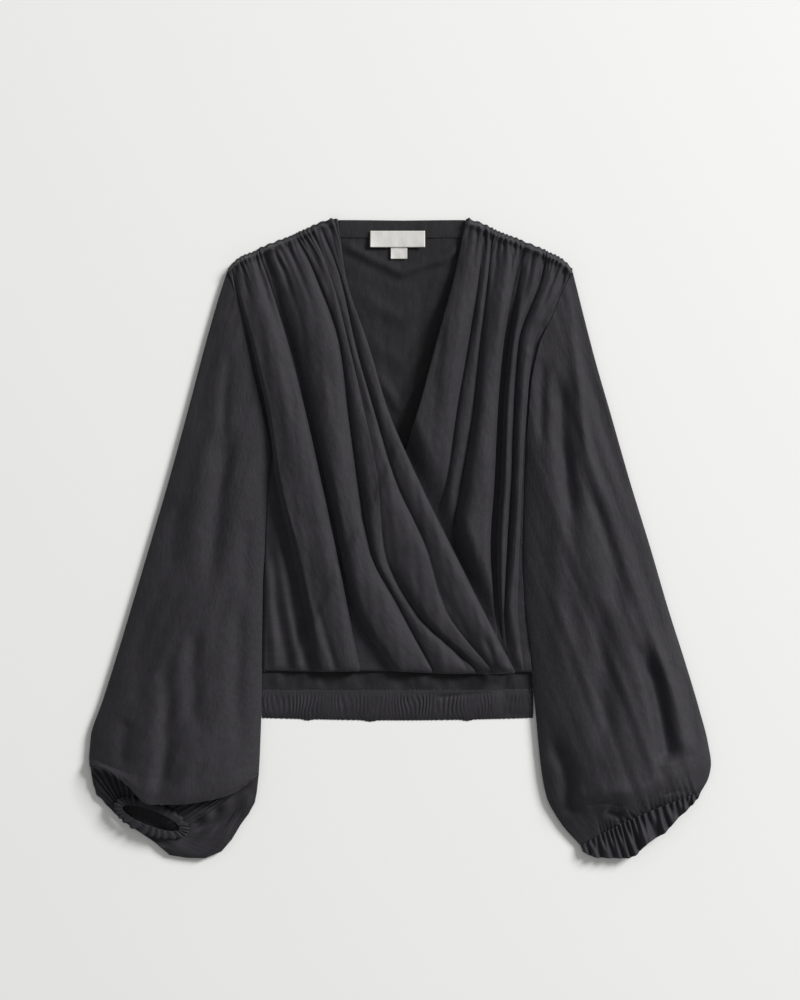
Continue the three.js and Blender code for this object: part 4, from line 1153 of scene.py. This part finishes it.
@dataclass
class Sleeves:
    """Both sleeves with their cuffs."""

    right_creases: tuple[Crease, ...] = creases(
        ([(-189, 217), (-205, 160), (-217, 110)], -4, 8),
        ([(-178, 122), (-188, 30), (-199, -65)], -5, 10),
        ([(-240, -120), (-241, -190), (-246, -262)], -5, 9, 0.3, 0.1),
        ([(-262, -60), (-272, -130), (-276, -190)], -3, 10),
        ([(-282, -185), (-287, -215), (-290, -240)], -5, 8),
        ([(-164, -60), (-168, -150), (-166, -225)], -4.5, 9),
        ([(-228, 40), (-236, 0), (-240, -40)], -2.6, 8),
        ([(-212, -90), (-214, -150), (-210, -210)], -3.2, 9),
        ([(-200, 110), (-212, 40), (-224, -30)], 3, 9),
        ([(-176, 200), (-182, 150), (-184, 100)], -3, 6),
        ([(-158, 20), (-160, -20), (-160, -60)], -2.5, 7),
    )
    left_creases: tuple[Crease, ...] = creases(
        ([(169, 274), (176, 240), (183, 180), (187, 140), (193, 90), (214, 27), (256, -89)],
         4.5, 6, 0.05, 0.4),
        ([(181, 240), (200, 160), (226, 80), (250, 10)], -3, 7, 0.1),
        ([(188, 250), (204, 190), (228, 110)], 3, 5, 0.1),
        ([(166, 175), (168, 120), (173, 60), (184, -20)], -8, 9),
        ([(148, 190), (146, 140), (147, 90)], -6, 6),
        ([(196, 60), (220, -20), (232, -90)], -4.5, 9),
        ([(247, -106), (263, -146), (271, -186), (278, -234)], -12, 9, 0.3, 0.1),
        ([(258, -90), (280, -154), (295, -210), (302, -226)], 6, 7),
        ([(292, -130), (304, -180), (310, -222)], -4, 6),
        ([(152, -200), (170, -240), (177, -290)], -11, 9, 0.3, 0.1),
        ([(205, -60), (212, -150), (214, -225)], -4, 11),
        ([(200, 170), (214, 110), (236, 40)], -2.5, 7),
        ([(236, 20), (262, -60), (276, -110)], -3.5, 8),
        ([(160, 20), (164, -60), (170, -150)], 3, 10),
        ([(176, -262), (192, -268), (212, -262), (239, -262), (254, -256), (270, -240)], 4.0, 9, 0.1, 0.2),
        ([(185, -276), (210, -273), (232, -276)], -2.5, 3, 0.2, 0.2),
        ([(268, -266), (285, -262), (302, -262)], -3, 3.5, 0.2, 0.1),
        ([(211, -281), (222, -285), (233, -286)], -6, 5, 0.3, 0.3),
    )

    @staticmethod
    def dress(name: str, rings: Array) -> None:
        """Makes a sleeve of its rings and dresses it."""
        sleeve = SheetMesh.tube(name + "_cloth", rings)
        CHARCOAL.dress(sleeve, name)

    def build(self) -> None:
        """Builds and dresses the sleeves and cuffs."""
        right, end = Sleeve(Side.RIGHT, RIGHT_RINGS, self.right_creases), RightSleeveEnd()
        body = right.body()
        self.dress("sleeve_right", np.concatenate([body, end.rings(body[-1], *right.shares())]))
        CHARCOAL.dress(end.cuff(), "cuff_right")
        left = Sleeve(Side.LEFT, LEFT_RINGS, self.left_creases, ELASTIC_LINE)
        body = left.body()
        self.dress("sleeve_left", body)
        ruffle = LeftSleeveEnd().cuff(body[-1, :left.top_columns])
        CHARCOAL.dress(SheetMesh.tube("cuff_left_cloth", ruffle), "cuff_left")


@dataclass
class Studio:
    """Pale floor, soft light, and a camera that looks straight down."""

    view_height: float = 1.040
    middle_y: float = 0.0395
    distance: float = 3.0
    key_place: Three = (7.4, 4.6, 5.0)
    key_size: float = 3.2
    key_power: float = 1220
    sky: float = 0.33
    floor_half: float = 14.0
    floor_z: float = -0.0002

    def light(self, name: str, place: Three, size: float, power: float) -> None:
        """A square soft light that faces the middle of the garment."""
        lamp = bpy.data.lights.new(name, "AREA")
        lamp.shape = "SQUARE"
        lamp.size = size
        lamp.energy = power
        holder = bpy.data.objects.new(name, lamp)
        holder.location = place
        bpy.context.scene.collection.objects.link(holder)
        aim = -np.array(place)
        yaw = np.arctan2(aim[1], aim[0]) - np.pi / 2
        pitch = np.arctan2(np.hypot(aim[0], aim[1]), -aim[2])
        holder.rotation_euler = (pitch, 0, yaw)

    def build(self) -> None:
        """Sets up the camera, lights, sky and floor."""
        scene = bpy.context.scene
        scene.view_settings.view_transform = "Standard"
        camera = bpy.data.cameras.new("camera")
        camera.lens = camera.sensor_width * self.distance / self.view_height
        camera.clip_end = 20
        holder = bpy.data.objects.new("camera", camera)
        holder.location = (0, self.middle_y, self.distance)
        scene.collection.objects.link(holder)
        scene.camera = holder
        self.light("key", self.key_place, self.key_size, self.key_power)
        world = bpy.data.worlds.new("sky")
        world.use_nodes = True
        sky = world.node_tree.nodes["Background"].inputs
        sky["Color"].default_value = (1, 1, 1, 1)
        sky["Strength"].default_value = self.sky
        scene.world = world
        mesh = bpy.data.meshes.new("floor")
        corners = [(i * self.floor_half, j * self.floor_half, self.floor_z)
                   for i, j in ((-1, -1), (1, -1), (1, 1), (-1, 1))]
        mesh.from_pydata(corners, [], [(0, 1, 2, 3)])
        floor = bpy.data.objects.new("floor", mesh)
        scene.collection.objects.link(floor)
        paint = bpy.data.materials.new("pale_floor")
        paint.use_nodes = True
        pale = paint.node_tree.nodes["Principled BSDF"].inputs
        pale["Base Color"].default_value = (0.90, 0.90, 0.885, 1)
        pale["Roughness"].default_value = 0.9
        mesh.materials.append(paint)


def main() -> None:
    """Builds the studio and the garment."""
    Studio().build()
    Back().build()
    Fronts().build()
    Sleeves().build()


if __name__ == "__main__":
    main()
